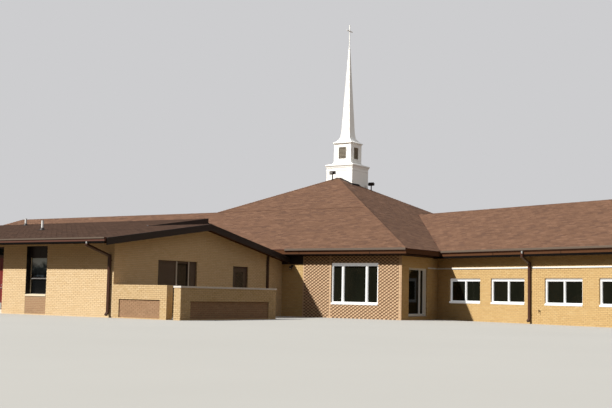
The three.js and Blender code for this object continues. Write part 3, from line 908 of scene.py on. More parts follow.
def addCasing(shape, across, foot, head):
    # flat boards in front of the frame at both jambs and over the lights, with a drip under the top one
    a, b, low, high = across
    front = setback - glazing["casing"]
    for x0, x1 in ((a + 4, a + 50), (b - 50, b - 4)):
        shape.box((x0, front, foot), (x1, setback + 4, head))
    shape.box((a + 4, front, head), (b - 4, setback + 4, high - 4))
    drip = [(front - 8, head - 8), (front + 6, head - 8), (front + 6, head + 6), (front - 8, head + 2)]
    shape.prism(drip, a + 4, b - 4)


def pictureWindow():
    shape = Shape(hallFront)
    across = opening("picture_window")
    edges = glazing["pictureEdges"]
    foot, head = glazing["pictureHeights"]
    dressWindow(shape, across, [(a, b, foot, head) for a, b in zip(edges[::2], edges[1::2])], setback)
    addCasing(shape, across, foot - 17, head + 9)
    addSill(shape, across[0] + 2, across[1] - 2, across[2], foot - 19, 34, setback + 10)
    for a, b in zip(edges[1::2], edges[2::2]):
        outline = [(a + 10, setback), (a + 22, setback - 14), (b - 22, setback - 14), (b - 10, setback)]
        shape.post(outline, foot - 19, head + 11)
    dressNode("picture_window", shape, ["glowingWindowWhite", "gasket", "glass"])


def stripWindowUnits():
    for node in stripWindows:
        shape = Shape(leftFront)
        across = opening(node)
        a, b, low, high = across
        insets = glazing["stripInsets"]
        left, right = a + insets[0], b - insets[1]
        front = sides(node)[0].y - frontY
        dressWindow(shape, across, [(left, right, *span) for span in glazing["stripHeights"]], front, 3)
        lower, upper = glazing["stripRail"]
        shape.box((left + 4, front - 5, lower), (right - 4, front + 2, upper), 1)
        lower, upper = glazing["stripLiner"]
        shape.box((left, front - 4, lower), (left + 13, front + 44, upper), 4)
        foot = glazing["stripFoot"]
        for x in (a, b - 10):
            shape.box((x, -4, foot), (x + 10, front + 4, high - 10))
        shape.box((a, -4, high - 10), (b, front + 4, high))
        panelFoot = glazing["stripPanelFoot"]
        shape.frameRing((a + 34, b - 34, panelFoot, high - 20), moulding(front, 16, 22, 8))
        middle = (a + b) / 2
        shape.box((middle - 6, front - 7, panelFoot + 8), (middle + 6, front + 2, high - 26))
        addSill(shape, a + 2, b - 2, low, foot + 2, 22, front + 4, 4)
        dressNode(node, shape, ["windowBrown", "aluminium", "gasket", "skyReflectGlass", "cream"])


def wingWindowUnits():
    for node in wingWindows:
        shape = Shape(wing)
        a, b, low, high = wingOpening(node)
        a, b, low, high = a + 1, b - 1, low + 1, high - 1
        across = (a, b, low, high)
        middle = (a + b) / 2
        near, half, far = glazing["wingInsets"]
        rise, drop = glazing["wingFootHead"]
        foot, head = low + rise, high - drop
        lights = [(a + near, middle - half, foot, head), (middle + half, b - far, foot, head)]
        dressWindow(shape, across, lights, setback)
        addCasing(shape, across, foot - 12, head + 10)
        addSill(shape, a, b, low, foot - 12, 26, setback + 8)
        meeting = [(middle - 26, setback), (middle - 20, setback - 14)]
        meeting += [(middle + 20, setback - 14), (middle + 26, setback)]
        shape.post(meeting, foot - 14, head + 12)
        foot, head = glazing["wingLatch"]
        shape.box((middle - 8, setback - 26, foot), (middle + 8, setback - 14, head))
        dressNode(node, shape, ["glowingWindowWhite", "gasket", "glass"])


def courtWindowUnit():
    shape = Shape(gableFace)
    across = opening("courtyard_window", 1)
    dressWindow(shape, across, [glazing["courtLight"]], setback, 3)
    (a, _), (_, b) = glazing["courtPosts"]
    foot, head = glazing["courtPostHeights"]
    for x0, x1 in glazing["courtPosts"]:
        shape.box((x0, setback - 14, foot), (x1, setback + 4, head), 1)
    for x0, x1 in ((across[0] + 60, a - 42), (b + 42, across[1] - 50)):
        shape.frameRing((x0, x1, *glazing["courtPanel"]), moulding(setback, 20, 30, 10))
        shape.frameRing((x0 + 70, x1 - 70, *glazing["courtInnerPanel"]), moulding(setback, 12, 20, 5))
    dressNode("courtyard_window", shape, ["doorBrown", "paleTrim", "gasket", "glass"])


def eastScreenUnit():
    shape = Shape(hallEastFace)
    across = opening("east_screen", 1)
    lights = [(*edges, *glazing["screenHeights"]) for edges in glazing["screenEdges"]]
    dressWindow(shape, across, lights, setback)
    threshold = [(-20, 150), (setback + 10, 150), (setback + 10, 172), (-14, 166)]
    shape.prism(threshold, across[0] + 4, across[1] - 4, 3)
    dressNode("east_screen", shape, ["white", "gasket", "glass", "aluminium"])


pictureWindow()
stripWindowUnits()
wingWindowUnits()
courtWindowUnit()
eastScreenUnit()
print("windows glazed")


# Door furniture, panels and thresholds
hardware = {
    "faceDepth": 11.4,
    "leverHeight": 1010.0,
    "lockRise": 110.0,
    "backset": 75.0,
    "kick": (25.0, 260.0),
    "panelInset": 120.0,
    "panelFoot": 300.0,
    "panelTop": 930.0,
    "upperPanel": (1120.0, 130.0),
    "glassInset": 200.0,
    "glassPanel": (1130.0, 170.0),
    "moulding": [(0, -9), (8, -12), (24, -8), (34, 0), (34, 3), (0, 3)],
    "raised": [(0, 3), (0, -2), (26, -8), (40, -8), (40, 3)],
    "glazed": [(-16, 3), (-16, -8), (0, -10), (10, -4), (10, 3)],
    "rose": [(26, -2), (26, 6), (22, 9), (10, 10), (9, 34), (11, 40), (6, 42)],
    "lock": [(22, -2), (22, 5), (18, 9), (8, 10), (7, 12)],
    "lever": [(-5, -7), (5, -7), (6, 0), (5, 7), (-5, 7), (-6, 0)],
}


def dressDoor(name, place, across, side, body, look, panels, glassPanel=None):
    # side is 1 where the handle is at the far edge and -1 at the near one; the door's face is at local y 0
    shape = Shape(place)
    a, b, low, high = across
    for panel in panels:
        shape.frameRing(panel, hardware["moulding"])
        x0, x1, z0, z1 = panel
        shape.frameRing((x0 + 60, x1 - 60, z0 + 60, z1 - 60), hardware["raised"])
    if glassPanel:
        shape.frameRing(glassPanel, hardware["glazed"])
        x0, x1, z0, z1 = glassPanel
        shape.box((x0 + 2, -2, z0 + 2), (x1 - 2, 3, z1 - 2), 2)
    kickLow, kickHigh = hardware["kick"]
    shape.box((a + 40, -3, low + kickLow), (b - 40, 3, low + kickHigh), 1)
    x = (b if side > 0 else a) - side * hardware["backset"]
    z = hardware["leverHeight"]
    shape.turned(hardware["rose"], place @ moved(x, 0, z) @ rotated(90, "X"), 1)
    lever = [(x, -34, z), (x - side * 60, -36, z + 1), (x - side * 112, -30, z - 2)]
    shape.sweep(hardware["lever"], lever, 1)
    shape.turned(hardware["lock"], place @ moved(x, 0, z + hardware["lockRise"]) @ rotated(90, "X"), 1)
    makePiece(name, shape, [look, "aluminium", "glass"], body)


def doors():
    deep, inset, top = hardware["faceDepth"], hardware["panelInset"], hardware["panelTop"]
    low, high = sides("left_entry_door")
    a, b = low.x + deep, high.x
    foot, drop = hardware["upperPanel"]
    panels = [(a + inset, b - inset, low.z + hardware["panelFoot"], top)]
    panels.append((a + inset, b - inset, foot, high.z - drop))
    dressDoor("entry_door_fittings", wallPlace(0, low.y + deep), (a, b, low.z, high.z), 1,
              "entry_leaf", "maroon", panels)
    low, high = sides("courtyard_door")
    a, b = low.y, high.y - deep
    panels = [(a + inset, b - inset, low.z + hardware["panelFoot"], top)]
    inset = hardware["glassInset"]
    foot, drop = hardware["glassPanel"]
    dressDoor("courtyard_door_fittings", wallPlace(high.x - deep, 0, 90), (a, b, low.z, high.z), -1,
              "court_leaf", "doorBrown", panels, (a + inset, b - inset, foot, high.z - drop))


def doorFrames():
    shape = Shape()
    step = [(setback + y, z) for y, z in ((-30, 150), (60, 150), (60, 158), (0, 158), (-26, 154))]
    x0, x1, z0, z1 = opening("left_entry_frame")
    shape.frameRing((x0 + 70, x1 - 70, 2300, z1 - 50), moulding(setback, 18, 28, 8, 3), 0, leftFront)
    shape.box((x0 + 84, setback - 4, 2314), (x1 - 84, setback + 2, z1 - 64), 1, leftFront)
    shape.prism(step, x0 + 52, x1 - 52, 2, leftFront)
    x0, x1, z0, z1 = opening("courtyard_door_frame", 1)
    shape.frameRing((x0 + 4, x1 - 4, 130, z1 - 4), moulding(setback, 20, 26, 6), 0, gableFace)
    shape.prism(step, x0 + 52, x1 - 52, 2, gableFace)
    makePiece("door_frame_trim", shape, ["windowBrown", "glass", "aluminium"])


doors()
doorFrames()
print("doors fitted")


# Gutters and downspouts; a profile is given in shares of the gutter's width and height
rainware = {
    "metal": 5.0,
    "left_gutter": [(0, 0), (0.7, 0), (0.77, 0.05), (0.77, 0.7), (0.92, 0.82), (1.0, 0.86), (1.0, 1.34)],
    "hall_gutter": [(0, 0.02), (0.1, 0.12), (0.5, 0.5), (0.57, 0.54), (0.57, 1.25)],
    "right_gutter": [(0, 0), (0.14, 0), (0.5, 0.42), (0.57, 0.47), (0.57, 1.23)],
    "strapPace": 900.0,
    "length": 3050.0,
    "pipe": (105.0, 75.0),
    "rib": 7.0,
    "outlet": [(32, 26, 26), (33, 27, -40), (30, 24, -52), (30, 24, -90)],
    "outletGap": (2262.0, 2398.0),
    # outlet and pipe along the wall, heights of the outlet and the bends, and heights of the straps
    "left_downspout": ((2330, 2680), (2738, 2620, 2250), (2080, 1200, 330)),
    "right_downspout": ((5470, 5470), (2848, 2650, 2400), (2100, 1250, 330)),
    "gableJoint": 1500.0,
    "gableStraps": (2200, 1300, 330),
    "outletY": -495.0,
    "pipeY": -77.5,
    "gablePipeY": -45.0,
}


def layGutter(shape, x0, x1, back, width, low, high, profile):
    # a moulded gutter with its trough open above, a paler lip that is a painted highlight, end plates, straps
    # and joints
    metal = rainware["metal"]
    outer = [(back - width * a, low + (high - low) * b) for a, b in profile]
    (front, foot), (edge, high) = outer[-2:]
    inner = [(y + metal if k else y - metal, z + metal * 0.7) for k, (y, z) in enumerate(outer)]
    inner[-1] = (edge + metal, high)
    lip = [(edge + 14, high), (edge + 14, high - 8), (edge + metal, high - 8)]
    shape.prism(outer + lip + inner[::-1][1:] + [(back - metal, high), (back, high)], x0, x1)
    # a paler strip over the upper face of the gutter, painted highlight
    cover = [(front - 3, foot + 2), (front + 1, foot + 2), (front + 1, high + 1), (front - 3, high + 1)]
    shape.prism(cover, x0, x1, 1)
    for end in (x0, x1 - 4):
        shape.prism(outer + [(back, high)], end, end + 4)
    count = int((x1 - x0) // rainware["strapPace"])
    for k in range(1, count + 1):
        x = x0 + k * (x1 - x0) / (count + 1)
        shape.box((x - 12, front + 4, high - 4), (x + 12, back, high))
    for k in range(1, int((x1 - x0) // rainware["length"]) + 1):
        x = x0 + k * rainware["length"]
        shape.prism([(y - 2, z - 1.5) for y, z in outer] + [(back, high)], x - 12, x + 12)


def spoutSection(width, depth):
    # a rectangular pipe with two grooves down each face
    rib = rainware["rib"]
    w, d = width / 2, depth / 2
    points = []
    for x, y, dx, dy in ((-w, -d, 1, 0), (w, -d, 0, 1), (w, d, -1, 0), (-w, d, 0, -1)):
        length = 2 * (w if dx else d)
        points.append((x, y))
        for share in (0.3, 0.7):
            for step, inset in ((-1.2, 0), (-0.4, rib), (0.4, rib), (1.2, 0)):
                along = length * share + step * rib
                points.append((x + dx * along - dy * inset, y + dy * along + dx * inset))
    return points


def addSpout(node, place, path, straps, outlet=None):
    # a downspout with its shoe, its straps and, where one shows, its bare outlet
    shape = Shape(place)
    if outlet:
        x, y, z = outlet
        rings = [[(x + a * i, y + b * j, z + rise) for i, j in corners] for a, b, rise in rainware["outlet"]]
        shape.skin(rings, 1)
        path = [(x, y, z - 72), *path]
    x, y = path[-1][:2]
    width, depth = rainware["pipe"]
    shape.sweep(spoutSection(width, depth), [*path, (x, y, 190), (x, y - 90, 90)])
    w, front, wall = width / 2 + 4, y - depth / 2 - 4, -proud
    outline = [(-w, front), (w, front), (w, wall - 6), (w + 30, wall - 6), (w + 30, wall)]
    outline += [(-w - 30, wall), (-w - 30, wall - 6), (-w, wall - 6)]
    for height in straps:
        shape.post([(x + across, out) for across, out in outline], height, height + 28)
    dressNode(node, shape, ["spout", "aluminium"] if outlet else ["spout"])


def bentSpout(node, place, outletY):
    (outletX, pipeX), (top, bend, low), straps = rainware[node]
    path = [(outletX, outletY, bend), (pipeX, rainware["pipeY"], low)]
    addSpout(node, place, path, straps, (outletX, outletY, top))


def rainwater():
    for node in ("left_gutter", "hall_gutter", "right_gutter"):
        low, high = sides(node)
        shape = Shape(Matrix())
        run = (low.x, high.x, high.y, high.y - low.y)
        looks = ["brown", "gutterLipHighlight"]
        if node == "right_gutter":
            shape = Shape(wing)
            run = (720, wingLength + wingEave, -wingEave - 1, 124)
        layGutter(shape, *run, low.z, high.z, rainware[node])
        if node == "left_gutter":
            # a black strip below, painted shade that also casts the eave's shadow lower, with a gap for the
            # outlet
            looks.append("shadeHem")
            left, right = rainware["outletGap"]
            for x0, x1 in ((low.x, left), (right, high.x)):
                shape.box((x0, high.y - 96, low.z - 63), (x1, high.y - 90, low.z + 4), 2)
        dressNode(node, shape, looks)
    bentSpout("left_downspout", leftFront, leftEaveY - 62 - frontY)
    low, high = sides("gable_downspout")
    x, y = (low.y + high.y) / 2, rainware["gablePipeY"]
    path = [(x, y, high.z), (x, y, rainware["gableJoint"])]
    addSpout("gable_downspout", gableFace, path, rainware["gableStraps"])
    bentSpout("right_downspout", wing, rainware["outletY"])


rainwater()
print("rainwater goods hung")


# Eaves, rake and the dark cladding of the step in the left wing's roof
trimSizes = {
    "drip": (14.0, 24.0),
    "lip": (3.0, 27.0),
    # reach and height of the black hem under the fascia, which is painted shade
    "frieze": (26.0, 42.0),
    "jointPace": 3600.0,
    "wingHang": 62.0,
    # across from the rake board's face, and below and above the roof line
    "rakeStrips": [(-4, 10, 70, 8), (-44, 10, -2, 9), (-6, 5, 250, -222)],
    "endStrip": (240.0, 8.0),
    "crossStrip": (200.0, 8.0),
    "claddingPace": 152.0,
    # out from the wall, and the edges' distances below the soffit
    "board": [(32, 395, 2), (44, 400, 372), (40, 30, 2)],
}


def eaveTrim(shape, place, x0, x1, low=soffit, high=eaveTop, hang=2.0):
    # drip edge above, a black hem below that is painted shade, and black joint covers on the fascia, whose
    # face is at local y 0
    out, tall = trimSizes["drip"]
    drip = [(-out, high - tall), (-out + 4, high - tall), (-out + 4, high - 3), (3, high - 1), (3, high + 2)]
    shape.prism([*drip, (-out, high)], x0, x1, 0, place)
    out, tall = trimSizes["lip"]
    foot, top = low - hang, low + tall
    shadeHem = [(-out, foot), (40, foot), (40, low + 1), (3, low + 1), (3, top), (-out + 1, top), (-out, top - 2)]
    shape.prism(shadeHem, x0, x1, 1, place)
    pace = trimSizes["jointPace"]
    for k in range(1, int((x1 - x0) // pace) + 1):
        x = x0 + k * pace
        shape.box((x - 12, -2, low + 20), (x + 12, 2, high - 20), 1, place)


def eaves():
    shape = Shape()
    rearEave = rearNorthY + overhang
    for x, y, degrees, start, end in (
            (0, -eaveHalf, 0, rearWest, eaveHalf),
            (eaveHalf, 0, 90, -eaveHalf, eaveHalf),
            (0, eaveHalf, 180, -eaveHalf, eaveHalf),
            (-eaveHalf, 0, -90, -eaveHalf, -rearEave),
            (0, rearEave, 180, eaveHalf, -rearWest),
            (rearWest, 0, -90, -rearEave, eaveHalf)):
        eaveTrim(shape, wallPlace(x, y, degrees), start, end)
    right, far = wingLength + wingEave, wingDepth + wingEave
    # on the wing the hem hangs lower, a deeper band of painted shade
    eaveTrim(shape, wallPlace(0, -wingEave, 0, wing), 200, right, hang=trimSizes["wingHang"])
    eaveTrim(shape, wallPlace(right, 0, 90, wing), -wingEave, far)
    eaveTrim(shape, wallPlace(0, far, 180, wing), -right, 3200)
    eaveTrim(shape, wallPlace(0, leftEaveY), leftWestX, leftRakeX, leftEaveTop - roofDepth, leftEaveTop)
    makePiece("eave_trim", shape, ["brown", "shadeHem"])


def alongRoof(shape, x0, x1, line, below, above):
    # a strip that follows the left wing's roof line along y, between x0 and x1
    section = ((x0, -below), (x1, -below), (x1, above), (x0, above))
    shape.skin([[(x, y, z + rise) for x, rise in section] for y, z in line])


def leftTrim():
    shape = Shape()
    ridge, shed = (ridgeY, leftTop(ridgeY)), (shedY, leftTop(shedY))
    line = [(leftEaveY, leftEaveTop), ridge, (-hallHalf, gableTop(-hallHalf))]
    outer = sides("left_wing_rake_board")[1].x
    for x0, x1, below, above in trimSizes["rakeStrips"]:
        alongRoof(shape, outer + x0, outer + x1, line, below, above)
    below, above = trimSizes["endStrip"]
    alongRoof(shape, leftWestX - 22, leftWestX + 2, [(leftEaveY, leftEaveTop), shed], below, above)
    alongRoof(shape, crossX - 2, crossX + 20, [ridge, shed], *trimSizes["crossStrip"])
    shape.box((leftWestX, shedY - 2, shed[1] - below), (crossX + 20, shedY + 22, shed[1] + above))
    pace = trimSizes["claddingPace"]
    for k in range(int((shedY - ridgeY) / pace) + 1):
        y = ridgeY + k * pace
        low, high = gableTop(y) + 5, min(leftTop(y) - 190, leftTop(shedWallY) - 190)
        if high - low > 20:
            shape.box((crossX, y, low), (crossX + 12, y + pace - 12, high))
    makePiece("left_wing_black_trim", shape, ["black"])


def frieze():
    # a boxed board between the gable and the brown wall, and black strips under the soffit
    shape = Shape(hallFront)
    for out, low, high in trimSizes["board"]:
        shape.box((gableX + 2, -out, soffit - low), (brownStart - 2, 2, soffit - high))
    out, tall = trimSizes["frieze"]
    ends = [(hallFront, gableX + 2, hallHalf + out), (hallEastFace, -hallHalf - out, wingRoot - 30)]
    for place, x0, x1 in [*ends, (wing, 20, wingLength + out)]:
        shape.box((x0, -out, soffit - tall), (x1, 2, soffit - 1), 0, place)
    makePiece("hall_frieze_board", shape, ["black"])


def crossFlashing():
    shape = Shape()
    line = [(ridgeY, leftTop(ridgeY)), (shedWallY, gableTop(shedWallY))]
    alongRoof(shape, crossX, crossX + 16, line, -4, 44)
    alongRoof(shape, crossX, crossX + 90, line, -14, 18)
    makePiece("cross_wall_flashing", shape, ["aluminium"])


eaves()
leftTrim()
frieze()
crossFlashing()
print("eaves and rakes trimmed")


# Steeple dressing; profiles round the tower are half width and height
steeple = {
    "y": 956.0,
    "base": 820.0,
    "baseTop": 7880.0,
    "belfry": 541.0,
    "belfryBoards": (8206.0, 9236.0),
    "niche": (-230.0, 230.0, 8400.0, 9040.0),
    "nicheTrim": [(0, 3), (0, -12), (8, -16), (30, -12), (42, -3), (42, 8)],
    "rib": [(-6, 3), (-6, -5), (-2, -7), (2, -7), (6, -5), (6, 3)],
    "ribPace": 152.0,
    "slats": 9,
    "cornice": [(-3, -132), (8, -132), (8, -20), (16, -6), (22, 18), (-3, 18)],
    "architrave": [(-3, -158), (12, -158), (15, -146), (12, -132), (-3, -132)],
    "skirt": [(886, 8038), (886, 8048), (882, 8054), (612, 8138), (596, 8138)],
    "collars": [
        [(538, 9226), (553, 9226), (567, 9260), (538, 9260)],
        [(596, 9258), (609, 9258), (609, 9298), (596, 9304)],
        [(538, 8196), (565, 8196), (561, 8226), (538, 8232)],
    ],
    "rings": (10400, 11700, 13000),
    "spire": ((264.0, 9880.0), (24.0, 14700.0)),
    "tipCollar": [(28, 14560), (40, 14566), (42, 14592), (36, 14620), (26, 14624)],
    "arris": ((462, 9386), (377, 9491), (307, 9601), (266, 9881), (28, 14640)),
    "tip": [(30, 14690), (34, 14712), (26, 14740), (20, 14750), (20, 14780)],
    # past the tower's edge, where the roof is measured, and the profile
    "flashings": [
        (16, 0, [(-20, -30), (2, -30), (2, 80), (-16, 80)]),
        (80, -40, [(-90, -20), (-10, -20), (-10, 24), (-90, 16)]),
    ],
    "flashingSteps": 14,
}
tower = moved(0, steeple["y"])


def faces(half):
    # the four faces of the tower, local y 0 on the face
    for quarter in range(4):
        yield tower @ rotated(90 * quarter) @ moved(0, -half)


def roofBelow(place, x, y=0):
    # height of the hall's roof under a spot on a face of the tower
    spot = place @ Vector((x, y, 0))
    return hallHeight(spot.x, spot.y)


def steepleBase(shape):
    base, top = steeple["base"], steeple["baseTop"]
    inset = base - 95
    count = int(2 * inset / steeple["ribPace"])
    for place in faces(base):
        for k in range(count + 1):
            x = -inset + k * 2 * inset / count
            outline = [(x + across, out) for across, out in steeple["rib"]]
            shape.post(outline, roofBelow(place, x) - 40, top - 130, 0, place)
        for side in (-1, 1):
            x = side * (base - 45)
            low = roofBelow(place, side * base) - 60
            shape.box((x - 50, -7, low), (x + 51 if side > 0 else x + 50, 3, top - 130), 0, place)
    for outline in (steeple["cornice"], steeple["architrave"]):
        shape.collar([(base + out, top + rise) for out, rise in outline])
    shape.skin([[(i * half, j * half, z) for i, j in corners] for half, z in steeple["skirt"]])


def steepleBelfry(shape):
    belfry = steeple["belfry"]
    a, b, low, high = steeple["niche"]
    pace = (high - low) / steeple["slats"]
    foot, head = steeple["belfryBoards"]
    for place in faces(belfry):
        for side in (-1, 1):
            x = side * (belfry - 42)
            shape.box((x - 42, -6, foot), (x + 48 if side > 0 else x + 42, 3, head), 0, place)
        shape.frameRing((a - 42, b + 42, low - 42, high + 36), steeple["nicheTrim"], 0, place)
        shape.box((a - 60, -26, low - 62), (b + 60, 4, low - 36), 0, place)
        for k in range(steeple["slats"]):
            z = low + k * pace + 6
            slat = [(6, z), (12, z - 4), (54, z + pace * 0.72), (50, z + pace * 0.8)]
            shape.prism(slat, a + 1, b - 1, 1, place)
    for profile in steeple["collars"]:
        shape.collar(profile)


def steepleSpire(shape):
    (wide, low), (narrow, high) = steeple["spire"]
    for z in steeple["rings"]:
        half = wide + (narrow - wide) * (z - low) / (high - low)
        shape.collar([(half - 3, z), (half + 4, z), (half + 4, z + 14), (half - 5, z + 14)])
    shape.collar(steeple["tipCollar"])
    for i, j in corners:
        path = [(i * half, j * half, z) for half, z in steeple["arris"]]
        shape.sweep([(4 * x, 4 * y) for x, y in corners], path)
    shape.turned(steeple["tip"])


def steepleFlashing():
    shape = Shape()
    steps = steeple["flashingSteps"]
    for place in faces(steeple["base"]):
        for reach, probe, section in steeple["flashings"]:
            rings = []
            for k in range(steps + 1):
                x = (steeple["base"] + reach) * (2 * k / steps - 1)
                z = roofBelow(place, x, probe)
                rings.append([(x, y, z + rise) for y, rise in section])
            shape.skin(rings, 0, place)
    makePiece("steeple_flashing", shape, ["black"])


steepleShape = Shape(tower)
steepleBase(steepleShape)
steepleBelfry(steepleShape)
steepleSpire(steepleShape)
makePiece("steeple_trim", steepleShape, ["steepleWhite", "louvre"])
steepleFlashing()
print("steeple dressed")


# Lamps, vents and other small fittings; a turned profile is radius and height
fittings = {
    "postFoot": [(80, -40), (80, 8), (44, 24), (34, 60), (30, 70)],
    "postHead": [(30, -180), (36, -170), (36, -158), (14, -152)],
    "floodTilt": 25.0,
    "fins": 11,
    "finPace": 28.0,
    "barrel": [(34, -172), (62, -168), (74, -152), (74, 152), (62, 168), (34, 172)],
    "lampPlate": [(56, -4), (56, 34), (48, 42), (16, 44), (14, 60), (8, 62)],
    "lampHead": [(14, -20), (24, -14), (26, 16), (34, 40), (54, 96), (56, 118), (50, 118), (44, 100)],
    "lampBulb": [(40, 92), (46, 104), (30, 116), (10, 120)],
    "lampAt": (3416.0, 2240.0),
    "lampNeck": [(14, -50, -6), (46, -74, -14), (66, -96, -34)],
    "lampTurn": (32.0, 28.0),
    "boot": [(120, 8), (112, 26), (74, 84), (66, 100), (60, 104)],
    "tapAt": (5960.0, 520.0),
    "tapPlate": [(36, -2), (36, 6), (14, 8), (13, 60), (17, 62), (17, 84), (8, 86)],
    "tapBody": [(8, -70), (12, -70), (12, -10), (17, -6), (17, 20), (6, 24), (6, 44)],
    "tapHandle": [(30, 46), (30, 54), (8, 56)],
    "bandStart": -6650.0,
}


def floodlights():
    for node, side in (("floodlight_left", 1), ("floodlight_right", -1)):
        low, high = sides(node)
        x, y, top = (low.x + high.x) / 2, (low.y + high.y) / 2, high.z
        roof = hallHeight(x, y)
        base = moved(x, y)
        shape = Shape(base)
        foot = [(radius, roof + rise) for radius, rise in fittings["postFoot"]]
        shape.turned(foot + [(radius, top + rise) for radius, rise in fittings["postHead"]])
        shape.box((-182, -18, top - 160), (182, 18, top - 150))
        for x in (-178, 178):
            shape.box((x - 4, -20, top - 160), (x + 4, 20, top - 60))
        head = base @ moved(0, 0, top - 76) @ rotated(side * fittings["floodTilt"], "X")
        shape.turned(fittings["barrel"], head @ rotated(90, "Y"), 0, 24)
        shape.box((-156, side * 44, -52), (156, side * 84, 52), 0, head)
        shape.box((-146, side * 78, -44), (146, side * 88, 44), 1, head)
        shape.box((-158, -60, 72), (158, 60, 80), 0, head)
        if side > 0:
            # a pale plate on the back of the left one, a painted highlight
            shape.box((-130, -90, -8), (52, -70, 72), 2, head)
        for k in range(fittings["fins"]):
            fin = fittings["finPace"] * (k - (fittings["fins"] - 1) / 2)
            shape.box((fin - 3, -side * 30 - 52, -56), (fin + 3, -side * 30 + 52, 68), 0, head)
        dressNode(node, shape, ["black", "glass", "aluminium"])


def wallLamp():
    x, z = fittings["lampAt"]
    place = hallFront @ moved(x, -proud, z)
    shape = Shape(place)
    shape.turned(fittings["lampPlate"], place @ rotated(90, "X"))
    outward, forward = fittings["lampTurn"]
    for side in (-1, 1):
        neck = [(side * across, out, rise) for across, out, rise in fittings["lampNeck"]]
        shape.sweep([(9 * x, 9 * y) for x, y in corners], neck)
        head = place @ moved(*neck[-1]) @ rotated(180 + side * outward, "Y") @ rotated(forward, "X")
        shape.turned(fittings["lampHead"], head)
        shape.turned(fittings["lampBulb"], head, 1)
    makePiece("wall_lamp", shape, ["black", "cream"])


def roofBoots():
    shape = Shape()
    for node in ("roof_vent_west", "roof_vent_east"):
        low, high = sides(node)
        x, y = (low.x + high.x) / 2, (low.y + high.y) / 2
        foot = moved(x, y, leftTop(y))
        shape.box((-170, -190, 2), (170, 190, 17), 0, foot @ Matrix.Rotation(math.atan(leftPitch), 4, "X"))
        shape.turned(fittings["boot"], foot)
        rim = [(58, high.z - 14), (62, high.z - 10), (62, high.z + 2), (50, high.z + 2)]
        shape.turned(rim, moved(x, y), 1)
    makePiece("roof_vent_boots", shape, ["black", "white"])


def hallBand():
    # the light course's short stretch on the hall's east wall
    shape = Shape(hallEastFace)
    low, high = (corner.z for corner in sides("right_wing_band"))
    shape.prism([(-36, low), (0, low), (0, high), (-30, high)], fittings["bandStart"], wingRoot - 30)
    makePiece("hall_band", shape, ["white"])


def gardenTap():
    shape = Shape()
    x, z = fittings["tapAt"]
    place = wing @ moved(x, -proud, z)
    shape.turned(fittings["tapPlate"], place @ rotated(90, "X"))
    shape.turned(fittings["tapBody"] + fittings["tapHandle"], place @ moved(0, -72))
    makePiece("garden_tap", shape, ["brass"])


floodlights()
wallLamp()
roofBoots()
hallBand()
gardenTap()
print("lamps and fittings placed")


# Finishes on the frame's own parts
slotLooks = {
    "yellow_brick": "yellowWall",
    "orange_brick": "yellowWall",
    "brown_brick": "brownWall",
    "shingle": "roofShell",
    "white_metal": "white",
    "brown_metal": "brown",
    "black_metal": "black",
    "window_white": "white",
    "window_brown": "brown",
    "entry_door": "maroon",
    "court_door": "doorBrown",
    "concrete": "concrete",
}
for part in frame["record"]["subparts"]:
    look = slotLooks[part["material_slot"]]
    if part["node"].startswith("right_wing") and look == "yellowWall":
        look = "yellowWingWall"
    if part["node"].startswith("steeple"):
        look = "steepleWhite"
    for slot in frame["nodes"][part["node"]].material_slots:
        slot.material = finishes[look]
print("frame's own parts finished")


# Camera, lights and floor, in the model's metres
view = {
    "place": (14.971, -23.384, 0.4875),
    "heading": 34.38,
    "tilt": 5.0206,
    "roll": 1.1401,
    "lens": 60.735,
    "sensor": 36.0,
    "farthest": 500.0,
}

light = {
    "sun": 5.8,
    "sunColour": (1.0, 0.98, 0.93),
    "sunWidth": 1.5,
    "travel": (0.56, 1.0, -1.0),
    "sky": [
        (0.0, (0.04, 0.035, 0.03, 1.0)),
        (0.1, (0.05, 0.047, 0.042, 1.0)),
        (0.5, (0.28, 0.29, 0.31, 1.0)),
        (1.0, (0.62, 0.64, 0.68, 1.0)),
    ],
    "backdrop": paint(205, 205, 207),
    "fill": {
        "power": 640.0,
        "place": (9.0, -3.0, 7.0),
        "target": (0.0, 0.5, 5.2),
        "cone": 42.0,
        "blend": 0.5,
        "size": 1.2,
    },
}

ground = {
    "size": 300.0,
    "seen": (paint(176, 174, 169), paint(170, 168, 163)),
    "bounced": (0.11, 0.078, 0.04, 1.0),
    "drop": 0.0005,
}


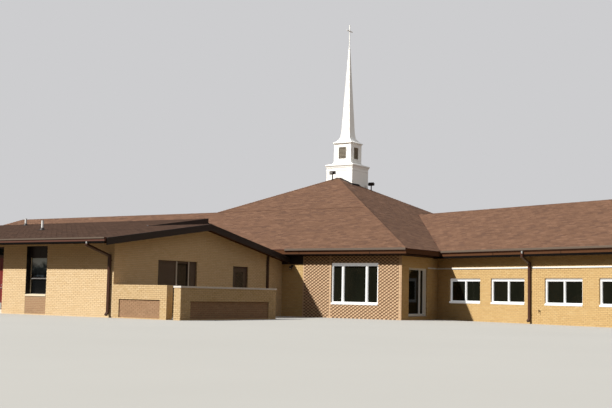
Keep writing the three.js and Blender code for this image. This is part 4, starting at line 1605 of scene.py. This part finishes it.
def addCamera():
    camera = addObject("camera", bpy.data.cameras.new("camera"))
    camera.data.lens = view["lens"]
    camera.data.sensor_width = view["sensor"]
    camera.data.sensor_fit = "HORIZONTAL"
    camera.data.clip_end = view["farthest"]
    turn = rotated(view["heading"]) @ rotated(90 + view["tilt"], "X") @ rotated(view["roll"])
    camera.matrix_world = moved(*view["place"]) @ turn
    bpy.context.scene.camera = camera


def addLamp(name, kind, power, way):
    lamp = addObject(name, bpy.data.lights.new(name, kind))
    lamp.data.energy = power
    lamp.rotation_euler = Vector(way).normalized().to_track_quat("-Z", "Y").to_euler()
    return lamp


def addLights():
    sun = addLamp("sun", "SUN", light["sun"], light["travel"])
    sun.data.angle = math.radians(light["sunWidth"])
    sun.data.color = light["sunColour"]
    soft = light["fill"]
    fill = addLamp("steeple fill", "SPOT", soft["power"], Vector(soft["target"]) - Vector(soft["place"]))
    fill.location = soft["place"]
    fill.data.spot_size = math.radians(soft["cone"])
    fill.data.spot_blend = soft["blend"]
    fill.data.shadow_soft_size = soft["size"]


def addSky():
    # a world that lights the model by height, with an even backdrop for the camera alone
    world = bpy.data.worlds.new("soft sky")
    world.use_nodes = True
    sky = Graph(world.node_tree)
    height = sky.part(sky.node("ShaderNodeTexCoord", output="Generated"), "Z")
    seen = sky.node("ShaderNodeLightPath", output="Is Camera Ray")
    colour = sky.mix(seen, sky.ramp(height, light["sky"]), light["backdrop"])
    sky.feed(sky.tree.nodes["Background"].inputs["Color"], colour)
    bpy.context.scene.world = world
    bpy.context.scene.view_settings.view_transform = "Standard"


def addFloor():
    # pale to the camera, darker where its light reaches the model
    size = ground["size"]
    mesh = bpy.data.meshes.new("floor")
    mesh.from_pydata([(i * size, j * size, 0) for i, j in corners], [], [(0, 1, 2, 3)])
    finish = Finish("pale floor")
    seen = finish.node("ShaderNodeLightPath", output="Is Camera Ray")
    pale = finish.mix(finish.noise(0.4, 3), *ground["seen"])
    mesh.materials.append(finish.surface(Base_Color=finish.mix(seen, ground["bounced"], pale), Roughness=0.9))
    floor = addObject("floor", mesh)
    floor.location.z = -ground["drop"]


addCamera()
addLights()
addSky()
addFloor()
print("camera, lights and floor set")
